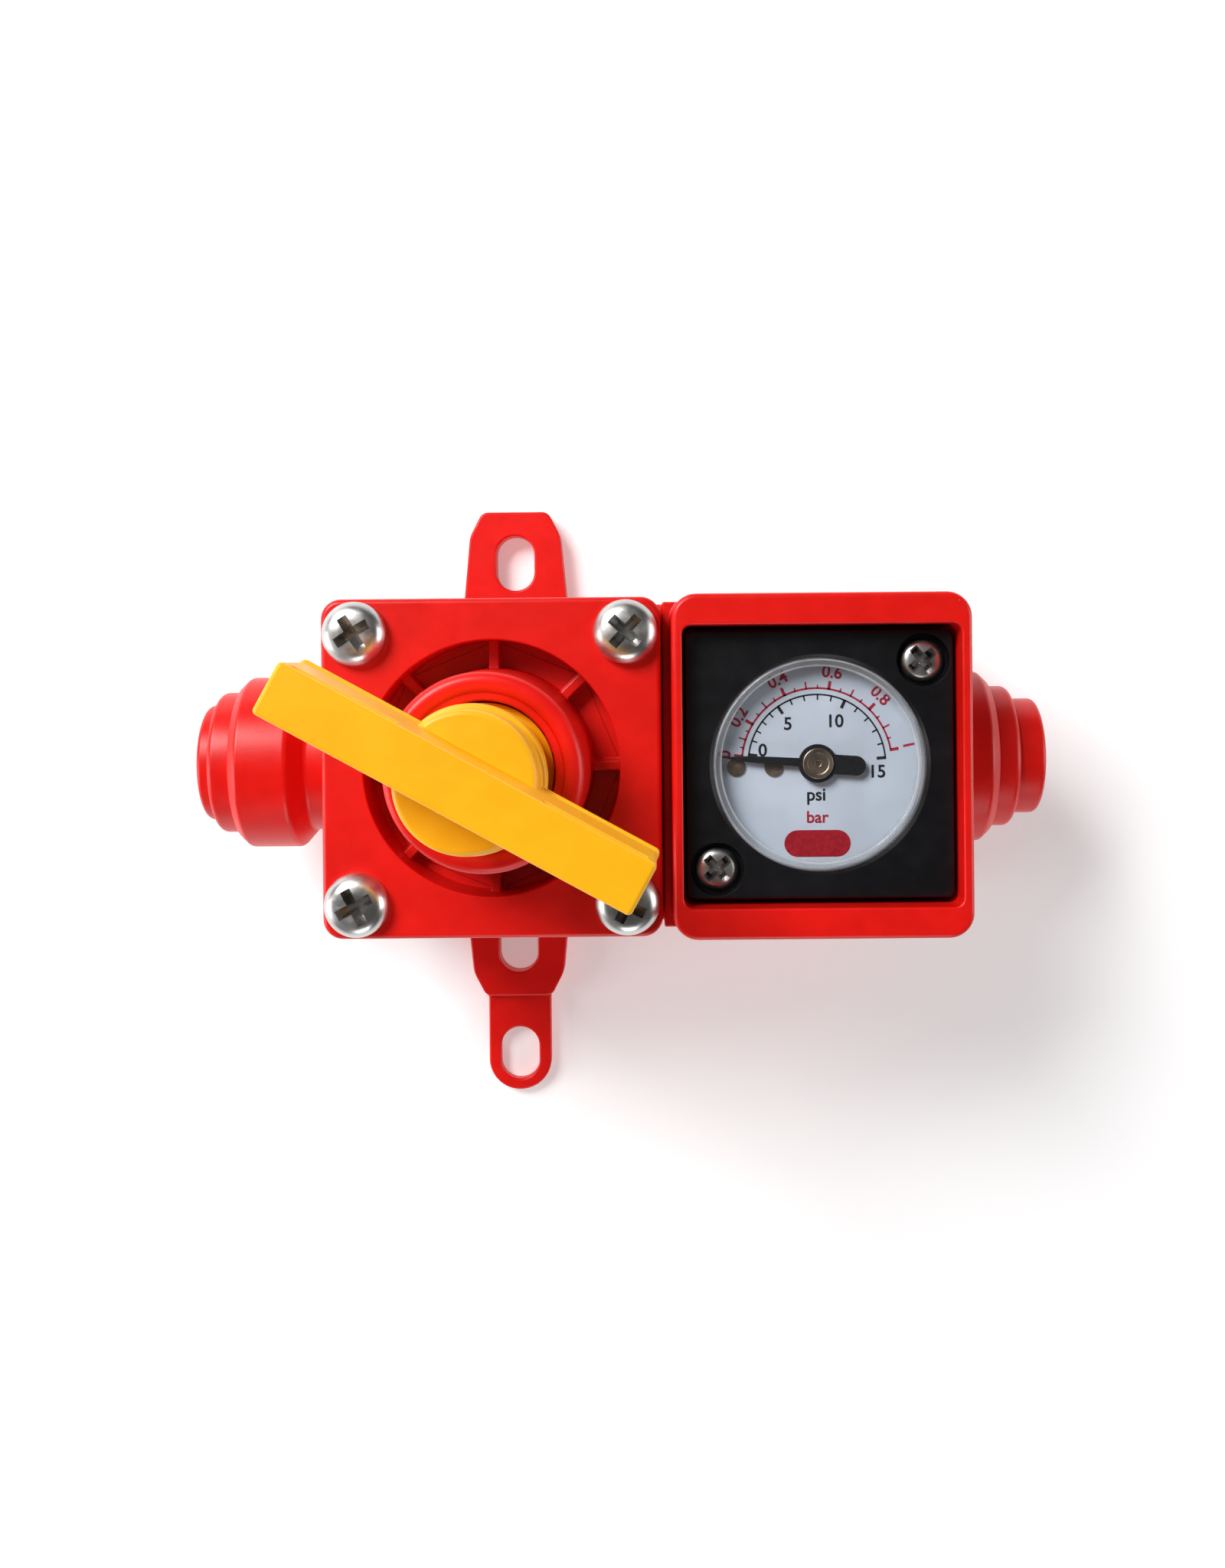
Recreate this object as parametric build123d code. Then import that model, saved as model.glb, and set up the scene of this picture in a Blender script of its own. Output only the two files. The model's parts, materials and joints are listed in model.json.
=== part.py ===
"""Inline carbon dioxide pressure regulator with push-in tube fittings and an embedded dial gauge.

Millimetres. The origin is on the knob's axis, at the back face that meets a wall. +Z leads out of
the front towards the knob, +X along the gas flow towards the gauge and outlet, +Y towards the
bracket's short ear. Each piece is written to parts/ under its own name.
"""

import os
from math import atan2, cos, degrees, pi, radians, sin

from build123d import *

# Clearances between pieces
FIT_GAP = 0.02  # pressed or screwed together, no play
RUN_GAP = 0.06  # radial play of a sliding or turning guide
SLIP_GAP = 0.1  # radial play of a part dropped into a pocket
SEAT_GAP = 0.02  # faces that meet and part again
MOVE_GAP = 0.3  # between pieces that pass each other

# Gas passages
AXIS_Z = 17.0  # height of both tube fittings above the back face
CHANNEL_R = 2.0
TAP_R = 0.8

# Valve block and bonnet
BLOCK = 35.3  # side of the square front
BLOCK_CORNER_R = 2.1
BLOCK_TOP = 25.0  # where the bonnet sits on the body
BONNET_TOP = BLOCK_TOP + 9.1
BONNET_EDGE_R = 0.5
BONNET_SCREW_AT = BLOCK / 2 - 3.65  # from the knob's axis, each way

# Tower that carries the knob's thread, and the ribbed pocket around it
STEM_R = 6.85
TOWER_R = STEM_R + 3.6
TOWER_TIP_R = TOWER_R - 0.52
TOWER_TOP = BONNET_TOP + 8.9
TOWER_EDGE_R = 0.8
TOWER_EDGE_CUT = 0.24
TOWER_RIM_W = 0.48
TOWER_MOUTH_H = 0.4
TOWER_DISH = 0.45
POCKET_R = TOWER_R + 2.85
POCKET_FLOOR = BLOCK_TOP + 3.3
POCKET_RIBS = 8
RIB_W = 1.1
RIB_TOP = POCKET_FLOOR + 2.3

# Knob: hollow threaded stem, hub and tee bar
STEM_WALL = 1.75
STEM_TIP = TOWER_TOP - 8.0
THREAD_DEPTH = 0.6
THREAD_LEAD_IN = 0.4
THREAD_RUN_OUT = 1.5
THREAD_PITCH = 2.0
KNOB_TURNS = 3.5
HUB_BOTTOM = TOWER_TOP + 7.5
HUB_LIP_R = STEM_R + 0.1
HUB_LIP_TOP = HUB_BOTTOM + 2.8
HUB_R = STEM_R - 0.35
HUB_TOP = HUB_BOTTOM + 7.1
HUB_EDGE_R = 1.1
BAR_LENGTH = 36.3
BAR_W = 4.9
BAR_BOTTOM = HUB_TOP - 3.0
BAR_TOP = BAR_BOTTOM + 10.0
BAR_LIP_W = 5.5
BAR_LIP_H = 0.9
BAR_EDGE_R = 0.7
BAR_CORNER_R = 0.9
BAR_ANGLE = -28.8
HOLLOW_TOP = HUB_BOTTOM - 2.5

# Diaphragm and its spring
DIAPHRAGM_R = BLOCK / 2 - 1.55
DIAPHRAGM_T = 1.2
DIAPHRAGM_WAVE_R = 11.0
WAVE_REACH = 1.5
WAVE_UNDER = 0.6
WAVE_OVER = 0.8
WAVE_ROOM = (1.9, 1.0)
PLATE_ROOM = (0.6, 1.2)
DIAPHRAGM_WAVE_H = 0.8
CHAMBER_R = 12.5
CHAMBER_DEPTH = 2.8
PLATE_R = 8.6
PLATE_T = 1.2
PLATE_BOSS_R = 3.0
PLATE_BOSS_H = 1.0
SPRING_SEAT_T = 1.0
SPRING_SEAT_SPIGOT = 1.2
SPRING_R = STEM_R - STEM_WALL - 1.05
SPRING_WIRE_R = 0.7
SPRING_COILS = 6
PORT_X = 9.5
PORT_R = 1.6

# Valve under the diaphragm
WEB_T = 2.9
VALVE_SEAT_R = 3.4
ORIFICE_R = 1.2
SEAT_NOSE_R = 1.9
SEAT_NOSE_H = 0.4
SEAT_RING_R = 0.55
VALVE_CHAMBER_R = 5.0
POPPET_STEM_R = 0.75
POPPET_HEAD_R = 2.9
POPPET_HEAD_T = 2.0
POPPET_SEAL_R = 2.5
POPPET_SEAL_T = 0.7
POPPET_GUIDE_R = 1.5
POPPET_GUIDE_END = 11.0
POPPET_LIFT = 0.6
POPPET_WIRE_R = 0.25
POPPET_COILS = 4
PLUG_R = VALVE_CHAMBER_R + 1.9
PLUG_BACK = 3.1
PLUG_SHOULDER = 8.5
PLUG_NOSE_TOP = 10.6
PLUG_RING_R = 0.65
PLUG_HEX_R = 2.9
PLUG_HEX_DEPTH = 2.4
PLUG_RING_AT = 0.3
GUIDE_ROOM = 2.5

# Push-in fittings for 8 mm tube; u runs outwards from the cartridge's outer face
TUBE_BORE_R = 4.1
INLET_FACE_X = -(BLOCK / 2 + 14.75)
NECK_R = TUBE_BORE_R + 3.65
NECK_LENGTH = 5.2
COLLAR_R = TUBE_BORE_R + 5.6
COLLAR_TAPER = (-10.8, -9.1)
COLLAR_EDGE = 1.0
CARTRIDGE_R = TUBE_BORE_R + 3.9
CARTRIDGE_HEAD = 2.6
CARTRIDGE_EDGE_R = 0.7
CARTRIDGE_SEAT_R = TUBE_BORE_R + 2.8
CARTRIDGE_LENGTH = 8.7
COLLET_FLANGE_R = TUBE_BORE_R + 2.45
COLLET_FLANGE_T = 3.1
COLLET_EDGE_R = 0.5
COLLET_TRAVEL = 1.6
COLLET_R = TUBE_BORE_R + 0.95
COLLET_TIP_R = COLLET_R + 0.25
COLLET_LENGTH = 7.2
COLLET_SLIT_W = 0.8
CONE_START = 6.4
CONE_END_R = COLLET_R + 0.85
GRAB_AT = 5.65
GRAB_T = 0.4
GRAB_R = TUBE_BORE_R + 0.55
GRAB_TOOTH_R = TUBE_BORE_R - 0.35
GRAB_TEETH = 12
GRAB_GROOVE_W = 0.9
GRAB_NOTCH_REACH = 0.1
RING_BORE_R = TUBE_BORE_R + 1.9
TUBE_RING_R = 0.94
TUBE_RING_AT = (10.1, 13.1)
SPACER_T = 1.0
SOCKET_START = 14.2
SOCKET_END = 17.0

# Gauge housing
GAUGE = 28.0  # side of the gauge's square front
HOUSING_X = GAUGE + 3.0
HOUSING_Y = GAUGE + 7.7
GAUGE_X = BLOCK / 2 + HOUSING_X / 2 + 1.05
HOUSING_TOP = 35.5
HOUSING_CORNER_R = 2.6
HOUSING_EDGE_R = 0.5
OPENING_X = GAUGE + 0.8
OPENING_Y = GAUGE + 1.2
OPENING_CORNER_R = 1.0
GAUGE_FLOOR = 24.4
OUTLET_FACE_X = GAUGE_X + HOUSING_X / 2 + 7.7
WEB_TOP = 30.0
WEB_Y = HOUSING_Y - 1.1

# Gauge
GAUGE_CORNER_R = 0.8
GAUGE_FACE = 32.9
GAUGE_SPLIT = 29.6
GAUGE_BACK = 24.5
CASE_FLOOR = 25.5
WINDOW_R = 0.4 * GAUGE
BEZEL_BORE_R = WINDOW_R + 0.8
CASE_R = BEZEL_BORE_R - 0.4
BEZEL_LIP = 0.7
WINDOW_CHAMFER = 0.4
LENS_T = 0.8
LENS_CROWN_GAP = 0.12
LENS_CROWN_H = 0.5
LENS_CROWN_EDGE_R = 0.3
DIAL_T = 0.3
DIAL_RIVETS = ((-8.6, -0.35), (-4.6, -0.4))
RIVET_R = 1.0
RIVET_SHANK_R = 0.45
RIVET_HEAD_H = 0.2
POINTER_BOTTOM = 30.5
POINTER_T = 0.3
POINTER_TIP = 9.6
POINTER_TAIL = 5.1
POINTER_W = 1.0
POINTER_NECK_AT = 0.75  # share of its length
POINTER_NECK_W = 0.7
POINTER_END_W = 0.2
POINTER_TAIL_W = 2.1
POINTER_HUB_R = 2.05
POINTER_ANGLE = 176.0
CAP_R = 1.65
CAP_T = 0.35
GAUGE_SCREW_AT = GAUGE / 2 - 3.15
GAUGE_SCREW_RECESS_R = 2.8
GAUGE_SCREW_RECESS = 1.6

# Gauge movement
PINION_TEETH = 10
SECTOR_TEETH = 60
GEAR_MODULE = 0.25
TOOTH_HEIGHT = 0.22
TOOTH_CLEARANCE = 0.08
TOOTH_BACKLASH = 0.03
TOOTH_ROOT_W = 1.25  # share of its width at the pitch circle
TOOTH_TIP_W = 0.6
TOOTH_SUNK = 0.3
SECTOR_SWING = 28.5
SECTOR_MARGIN = 5.0
SECTOR_RIM_T = 0.9
SECTOR_SPOKE_W = 0.7
SECTOR_SPOKE_IN = 2.0
SECTOR_HUB_R = 1.2
SECTOR_REACH = 12.0
GEAR_Z = (27.05, 27.55)
PINION_Z = (26.9, 27.65)
SHAFT_R = 0.4
PIVOT_R = 0.35
TAIL_R = 2.2
TAIL_W = 0.9
TAIL_END_R = 0.5
TAIL_PIN_R = 0.25
TAIL_ANGLE = 315.0
LINK_Z = (27.7, 27.95)
LINK_W = 0.7
LINK_END_R = 0.6
FRAME_Z = (26.1, 28.2)
FRAME_T = 0.4
FRAME_OUTLINE = (
    (-9.2, 0.9),
    (-9.2, -1.7),
    (-5.0, -4.5),
    (-3.4, -10.3),
    (3.0, -10.6),
    (3.4, 2.4),
    (-3.0, 2.6),
)
PILLAR_R = 0.6
SPARE_PILLAR = (2.6, 1.6)
ROOT_ARM_W = 3.0
ROOT_BLOCK = (2.0, 2.4)
ROOT_BLOCK_AT = 1.2
TUBE_R = CASE_R - 1.4
TUBE_W = 1.1
TUBE_Z = (26.2, 28.8)
TUBE_ROOT = 230.0
TUBE_TIP = -40.0
TUBE_PIN_R = 0.2
TUBE_PIN_IN = 0.9
TUBE_LUG = (2.0, 1.2)
TUBE_LUG_T = 0.8
TUBE_LUG_AT = (TUBE_R - 1.4, -0.1)
TUBE_LUG_TURN = 2.0
STUB_R = 3.85
STUB_END = 21.0
STUB_BORE_END = 20.6
STUB_RING_R = 0.6

# Screws: head radius, head height, shank radius, length under the head, recess across
BONNET_SCREW = (3.35, 2.2, 1.45, 20.0, 4.2)
GAUGE_SCREW = (2.0, 1.2, 1.0, 13.5, 2.6)
BRACKET_SCREW = (2.6, 1.5, 1.2, 9.0, 3.0)
RECESS_W = 0.75
RECESS_DEPTH = 0.75  # share of the head's height
PAN_PROFILE = ((1.0, 0.0), (1.0, 0.45), (0.93, 0.72), (0.72, 0.93), (0.4, 1.0))  # shares of radius and height

# Wall bracket
BRACKET_T = 2.8
TONGUE_T = 1.6
EAR_ROOT_W = 13.1
EAR_TIP_W = 11.3
EAR_TAPER_END = BLOCK / 2 + 9.55
EAR_END = BLOCK / 2 + 12.55
EAR_END_W = 8.2
EAR_CORNER_R = 1.6
TONGUE_W = 7.8
TONGUE_END = BLOCK / 2 + 24.55
SLOT_Y = BLOCK / 2 + 6.15
SLOT_W = 4.75
SLOT_LENGTH = 6.8
TONGUE_SLOT_Y = BLOCK / 2 + 19.95
TONGUE_SLOT_LENGTH = 6.5
BRACKET_SCREW_Y = 12.6

# Cored back of the moulding
CORE_WALL = 2.0
CORE_TOP = 11.0
GAUGE_CORE_TOP = 9.0
CORE_CORNER_R = 0.8
PLUG_BOSS_R = 9.4
SCREW_BOSS_R = 3.6
CORE_RIB_W = 1.2
BLOCK_RIB_Y = 7.0

LOW = (Align.CENTER, Align.CENTER, Align.MIN)
GAUGE_AT = Pos(GAUGE_X, 0, 0)


def rod(radius, low, high, at=(0, 0)):
    """A cylinder standing from low to high at an X, Y place."""
    return Pos(at[0], at[1], low) * Cylinder(radius, high - low, align=LOW)


def slab(x, y, low, high, corner=0.0, at=(0, 0)):
    """A rectangular block standing from low to high, with rounded upright corners."""
    outline = RectangleRounded(x, y, corner) if corner else Rectangle(x, y)
    return Pos(at[0], at[1], low) * extrude(outline, high - low)


def ring(centre_r, section_r, z, at=(0, 0)):
    """A seal ring of round section lying flat at height z."""
    return Pos(at[0], at[1], z) * Torus(centre_r, section_r)


def turned(points):
    """A turned piece about Z from its half outline of (radius, height) points."""
    return revolve(Plane.XZ * make_face(Polyline(*points, close=True)), Axis.Z)


def coil(radius, wire_r, low, high, turns):
    """An open helical spring whose wire stays between the heights low and high."""
    rise = high - low - 2 * wire_r
    path = Helix(rise / turns, rise, radius)
    section = Plane(path @ 0, z_dir=path % 0) * Circle(wire_r)
    return Pos(0, 0, low + wire_r) * sweep(section, path, is_frenet=True)


def pan_screw(spec, at, seat_z, facing=1):
    """A cross-recessed pan-head screw whose head stands on seat_z and faces +Z or, at -1, -Z."""
    head_r, head_h, shank_r, length, across = spec
    outline = [(r * head_r, z * head_h) for r, z in PAN_PROFILE]
    head = turned([(0, 0)] + outline + [(0, head_h)])
    depth = head_h * RECESS_DEPTH
    slot = Pos(0, 0, head_h - depth) * Box(across, RECESS_W, depth, align=LOW)
    screw = head + rod(shank_r, -length, 0) - slot - Rot(0, 0, 90) * slot
    turn = Rot(0, 0, 0) if facing > 0 else Rot(180, 0, 0)
    return Pos(at[0], at[1], seat_z) * turn * screw


def corners(reach):
    """The four corner places of a square pattern."""
    return [(x * reach, y * reach) for x in (-1, 1) for y in (-1, 1)]


def at_fitting(side, shape):
    """Turns a piece modelled along +Z, with the cartridge's face at zero, into its fitting."""
    face_x = INLET_FACE_X if side == "inlet" else OUTLET_FACE_X
    turn = Rot(0, -90, 0) if side == "inlet" else Rot(0, 90, 0)
    return Pos(face_x, 0, AXIS_Z) * turn * shape


def fitting_boss():
    """The body's neck and collar around one fitting."""
    low, high = COLLAR_TAPER
    return turned(
        (
            (0, low - NECK_LENGTH),
            (NECK_R, low - NECK_LENGTH),
            (NECK_R, low),
            (COLLAR_R, high),
            (COLLAR_R, -CARTRIDGE_HEAD - COLLAR_EDGE),
            (COLLAR_R - COLLAR_EDGE, -CARTRIDGE_HEAD),
            (0, -CARTRIDGE_HEAD),
        )
    )


def fitting_bore():
    """The stepped bore that the fitting's pieces sit in."""
    seat = rod(CARTRIDGE_SEAT_R, -CARTRIDGE_LENGTH - SLIP_GAP, 0)
    rings = rod(RING_BORE_R, -SOCKET_START, 0)
    socket = rod(TUBE_BORE_R + SLIP_GAP / 2, -SOCKET_END, 0)
    return seat + rings + socket


def body():
    """One moulding: valve block, gauge housing, fitting collars and every gas passage."""
    side = BLOCK - 2 * SLIP_GAP
    web_x0 = BLOCK / 2 + SLIP_GAP * 2
    web_x1 = GAUGE_X - HOUSING_X / 2 + CORE_WALL
    shape = slab(side, side, 0, BLOCK_TOP, BLOCK_CORNER_R)
    housing = slab(HOUSING_X, HOUSING_Y, 0, HOUSING_TOP, HOUSING_CORNER_R, (GAUGE_X, 0))
    housing = fillet(housing.faces().sort_by(Axis.Z)[-1].edges(), HOUSING_EDGE_R)
    web_at = ((web_x0 + web_x1) / 2, 0)
    shape += slab(web_x1 - web_x0, WEB_Y, 0, WEB_TOP, 0, web_at)
    shape += slab(web_x1 - side / 2 + BLOCK_CORNER_R * 2, WEB_Y, 0, BLOCK_TOP, 0, web_at)
    shape += housing
    for name in ("inlet", "outlet"):
        shape += at_fitting(name, fitting_boss())
    # A wide neck stays below the bonnet's seat
    shape -= slab(BLOCK, BLOCK, BLOCK_TOP, BONNET_TOP)
    shape -= slab(OPENING_X, OPENING_Y, GAUGE_FLOOR, HOUSING_TOP, OPENING_CORNER_R, (GAUGE_X, 0))
    for name in ("inlet", "outlet"):
        shape -= at_fitting(name, fitting_bore())
    # Passages: inlet to the valve chamber, diaphragm chamber down to the outlet and the gauge
    chamber_floor = BLOCK_TOP - CHAMBER_DEPTH
    shape -= rod(CHAMBER_R, chamber_floor, BLOCK_TOP)
    shape -= rod(VALVE_SEAT_R + FIT_GAP, chamber_floor - WEB_T, chamber_floor)
    shape -= rod(VALVE_CHAMBER_R, PLUG_SHOULDER, chamber_floor - WEB_T)
    shape -= rod(PLUG_R + FIT_GAP, 0, PLUG_SHOULDER)
    inlet_x = INLET_FACE_X + SOCKET_END
    shape -= Pos(inlet_x, 0, AXIS_Z) * Rot(0, 90, 0) * rod(CHANNEL_R, 0, -inlet_x)
    outlet_x = OUTLET_FACE_X - SOCKET_END
    shape -= Pos(PORT_X, 0, AXIS_Z) * Rot(0, 90, 0) * rod(CHANNEL_R, 0, outlet_x - PORT_X)
    shape -= rod(PORT_R, AXIS_Z, chamber_floor, (PORT_X, 0))
    shape -= rod(TAP_R, AXIS_Z, GAUGE_FLOOR, (GAUGE_X, 0))
    shape -= rod(STUB_R + SLIP_GAP, STUB_BORE_END, GAUGE_FLOOR, (GAUGE_X, 0))
    # Screw holes
    for at in corners(BONNET_SCREW_AT):
        low = BONNET_TOP - BONNET_SCREW[3] - 1
        shape -= rod(BONNET_SCREW[2] + FIT_GAP, low, BLOCK_TOP, at)
    for sign in (-1, 1):
        at = (GAUGE_X + sign * GAUGE_SCREW_AT, sign * GAUGE_SCREW_AT)
        low = GAUGE_FACE - GAUGE_SCREW_RECESS - GAUGE_SCREW[3] - 1
        shape -= rod(GAUGE_SCREW[2] + FIT_GAP, low, GAUGE_FLOOR, at)
        high = BRACKET_SCREW[1] + BRACKET_SCREW[3] + 1
        shape -= rod(BRACKET_SCREW[2] + FIT_GAP, 0, high, (0, sign * BRACKET_SCREW_Y))
    # Seat for the wall bracket across the back
    shape -= slab(EAR_ROOT_W + 2 * SLIP_GAP, BLOCK + 2, 0, BRACKET_T)
    return shape - block_cores() - housing_cores()


def block_cores():
    """The two pockets in the back of the valve block, beside the bracket's seat."""
    outer = BLOCK / 2 - CORE_WALL
    inner = EAR_ROOT_W / 2 + CORE_WALL
    pockets = []
    for sign in (-1, 1):
        at = (sign * (outer + inner) / 2, 0)
        pockets.append(slab(outer - inner, 2 * outer, 0, CORE_TOP, CORE_CORNER_R, at))
    cores = pockets[0] + pockets[1] - rod(PLUG_BOSS_R, 0, CORE_TOP)
    for at in corners(BONNET_SCREW_AT):
        cores -= rod(SCREW_BOSS_R, 0, CORE_TOP, at)
    for y in (-BLOCK_RIB_Y, BLOCK_RIB_Y):
        cores -= slab(BLOCK, CORE_RIB_W, 0, CORE_TOP, 0, (0, y))
    return cores


def housing_cores():
    """The ribbed pockets in the back of the gauge housing."""
    x = HOUSING_X - 2 * CORE_WALL
    y = HOUSING_Y - 2 * CORE_WALL
    cores = slab(x, y, 0, GAUGE_CORE_TOP, CORE_CORNER_R, (GAUGE_X, 0))
    for step in (-1, 0, 1):
        cores -= slab(CORE_RIB_W, y, 0, GAUGE_CORE_TOP, 0, (GAUGE_X + step * x / 4, 0))
        cores -= slab(x, CORE_RIB_W, 0, GAUGE_CORE_TOP, 0, (GAUGE_X, step * y / 4))
    return cores


def bonnet():
    """Square cover with the tower, its ribbed pocket and the diaphragm's clamping face."""
    shape = slab(BLOCK, BLOCK, BLOCK_TOP, BONNET_TOP, BLOCK_CORNER_R)
    shape = fillet(shape.faces().sort_by(Axis.Z)[-1].edges(), BONNET_EDGE_R)
    shape -= rod(POCKET_R, POCKET_FLOOR, BONNET_TOP)
    for i in range(POCKET_RIBS):
        reach = (TOWER_TIP_R + POCKET_R + RIB_W) / 2
        rib = Pos(reach, 0, POCKET_FLOOR) * Box(
            POCKET_R + RIB_W - TOWER_TIP_R, RIB_W, RIB_TOP - POCKET_FLOOR, align=LOW
        )
        shape += Rot(0, 0, 360 / POCKET_RIBS * i) * rib
    bore_r = STEM_R + SLIP_GAP
    shape += turned(
        (
            (0, BLOCK_TOP),
            (TOWER_R, BLOCK_TOP),
            (TOWER_R, POCKET_FLOOR),
            (TOWER_TIP_R, TOWER_TOP - TOWER_EDGE_R),
            (TOWER_TIP_R - TOWER_EDGE_CUT, TOWER_TOP - TOWER_EDGE_CUT),
            (TOWER_TIP_R - TOWER_EDGE_R, TOWER_TOP),
            (TOWER_TIP_R - TOWER_EDGE_R - TOWER_RIM_W, TOWER_TOP),
            (bore_r + TOWER_EDGE_R, TOWER_TOP - TOWER_DISH),
            (bore_r, TOWER_TOP - TOWER_DISH - TOWER_MOUTH_H),
            (0, TOWER_TOP - TOWER_DISH - TOWER_MOUTH_H),
        )
    )
    rim = BLOCK_TOP + DIAPHRAGM_T
    shape -= rod(DIAPHRAGM_R + SLIP_GAP, BLOCK_TOP, rim)
    shape -= rod(DIAPHRAGM_WAVE_R + WAVE_ROOM[0], BLOCK_TOP, rim + WAVE_ROOM[1])
    shape -= rod(PLATE_R + PLATE_ROOM[0], BLOCK_TOP, rim + PLATE_T + PLATE_ROOM[1])
    shape -= rod(bore_r, BLOCK_TOP, TOWER_TOP)
    for at in corners(BONNET_SCREW_AT):
        shape -= rod(BONNET_SCREW[2] + SLIP_GAP, BLOCK_TOP, BONNET_TOP, at)
    return shape


def bonnet_screws():
    """Four pan-head screws that clamp the bonnet and diaphragm to the body."""
    return Compound([pan_screw(BONNET_SCREW, at, BONNET_TOP) for at in corners(BONNET_SCREW_AT)])


def knob():
    """Tee-bar knob with its hollow stem, which screws into the tower."""
    shape = rod(STEM_R - THREAD_DEPTH, STEM_TIP, HUB_BOTTOM)
    shape += rod(STEM_R, STEM_TIP + THREAD_LEAD_IN, HUB_BOTTOM - THREAD_RUN_OUT)
    shape += rod(HUB_LIP_R, HUB_BOTTOM, HUB_LIP_TOP)
    hub = rod(HUB_R, HUB_BOTTOM, HUB_TOP)
    hub = fillet(hub.edges().sort_by(Axis.Z)[-1], HUB_EDGE_R)
    lip = slab(BAR_LENGTH, BAR_LIP_W, BAR_BOTTOM, BAR_BOTTOM + BAR_LIP_H, BAR_CORNER_R)
    inset = BAR_LIP_W - BAR_W
    bar = slab(BAR_LENGTH - inset, BAR_W, BAR_BOTTOM, BAR_TOP, BAR_CORNER_R)
    bar = fillet(bar.faces().sort_by(Axis.Z)[-1].edges(), BAR_EDGE_R)
    shape += hub
    shape += Rot(0, 0, BAR_ANGLE) * (lip + bar)
    return shape - rod(STEM_R - STEM_WALL, STEM_TIP, HOLLOW_TOP)


def spring_seat():
    """Steel washer between the knob's hollow and the top of the range spring."""
    low = HOLLOW_TOP - SPRING_SEAT_T - SEAT_GAP
    shape = rod(SPRING_R + SPRING_WIRE_R, low, HOLLOW_TOP - SEAT_GAP)
    return shape + rod(SPRING_R - SPRING_WIRE_R - SLIP_GAP * 2, low - SPRING_SEAT_SPIGOT, low)


def range_spring():
    """Spring that loads the diaphragm."""
    low = BLOCK_TOP + DIAPHRAGM_T + PLATE_T + SEAT_GAP
    high = HOLLOW_TOP - SPRING_SEAT_T - 2 * SEAT_GAP
    return coil(SPRING_R, SPRING_WIRE_R, low, high, SPRING_COILS)


def diaphragm():
    """Rubber disc with a rolled wave between its clamped rim and its stiff centre."""
    low = BLOCK_TOP
    high = BLOCK_TOP + DIAPHRAGM_T
    wave = DIAPHRAGM_WAVE_H
    inner = DIAPHRAGM_WAVE_R - WAVE_REACH
    outer = DIAPHRAGM_WAVE_R + WAVE_REACH
    return turned(
        (
            (0, low),
            (inner, low),
            (DIAPHRAGM_WAVE_R - WAVE_UNDER, low + wave),
            (DIAPHRAGM_WAVE_R + WAVE_UNDER, low + wave),
            (outer, low),
            (DIAPHRAGM_R, low),
            (DIAPHRAGM_R, high),
            (outer, high),
            (DIAPHRAGM_WAVE_R + WAVE_OVER, high + wave),
            (DIAPHRAGM_WAVE_R - WAVE_OVER, high + wave),
            (inner, high),
            (0, high),
        )
    )


def diaphragm_plate():
    """Metal plate that spreads the spring's load over the diaphragm."""
    low = BLOCK_TOP + DIAPHRAGM_T + SEAT_GAP
    shape = rod(PLATE_R, low, low + PLATE_T - SEAT_GAP)
    return shape + rod(PLATE_BOSS_R, low, low + PLATE_T + PLATE_BOSS_H)


def web_span():
    """Lowest and highest points of the web that holds the valve seat."""
    high = BLOCK_TOP - CHAMBER_DEPTH
    return high - WEB_T, high


def valve_seat():
    """Brass seat with the orifice and a raised sealing nose."""
    low, high = web_span()
    nose = low - SEAT_NOSE_H
    shape = rod(VALVE_SEAT_R, low, high) + rod(SEAT_NOSE_R, nose, low)
    middle = (low + high) / 2
    groove = rod(VALVE_SEAT_R + 1, middle - SEAT_RING_R, middle + SEAT_RING_R)
    groove -= rod(VALVE_SEAT_R - 2 * SEAT_RING_R, middle - SEAT_RING_R, middle + SEAT_RING_R)
    return shape - groove - rod(ORIFICE_R, nose, high)


def seat_o_ring():
    """Seal between the valve seat and the body."""
    low, high = web_span()
    section = SEAT_RING_R - FIT_GAP
    return ring(VALVE_SEAT_R - SEAT_RING_R, section, (low + high) / 2)


def poppet():
    """Stem, head and guide that open and close the orifice."""
    nose = web_span()[0] - SEAT_NOSE_H
    head_top = nose - SEAT_GAP - POPPET_SEAL_T
    head_low = head_top - POPPET_HEAD_T
    shape = rod(POPPET_STEM_R, head_top, BLOCK_TOP - SEAT_GAP) + rod(POPPET_HEAD_R, head_low, head_top)
    return shape + rod(POPPET_GUIDE_R, POPPET_GUIDE_END, head_low)


def poppet_seal():
    """Rubber washer on the poppet's head that closes on the seat's nose."""
    high = web_span()[0] - SEAT_NOSE_H - SEAT_GAP
    low = high - POPPET_SEAL_T
    return rod(POPPET_SEAL_R, low, high) - rod(POPPET_STEM_R + FIT_GAP, low, high)


def poppet_spring():
    """Light spring that closes the poppet."""
    high = web_span()[0] - SEAT_NOSE_H - SEAT_GAP - POPPET_SEAL_T - POPPET_HEAD_T - SEAT_GAP
    radius = (POPPET_GUIDE_R + POPPET_HEAD_R) / 2
    return coil(radius, POPPET_WIRE_R, PLUG_NOSE_TOP + SEAT_GAP, high, POPPET_COILS)


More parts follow.
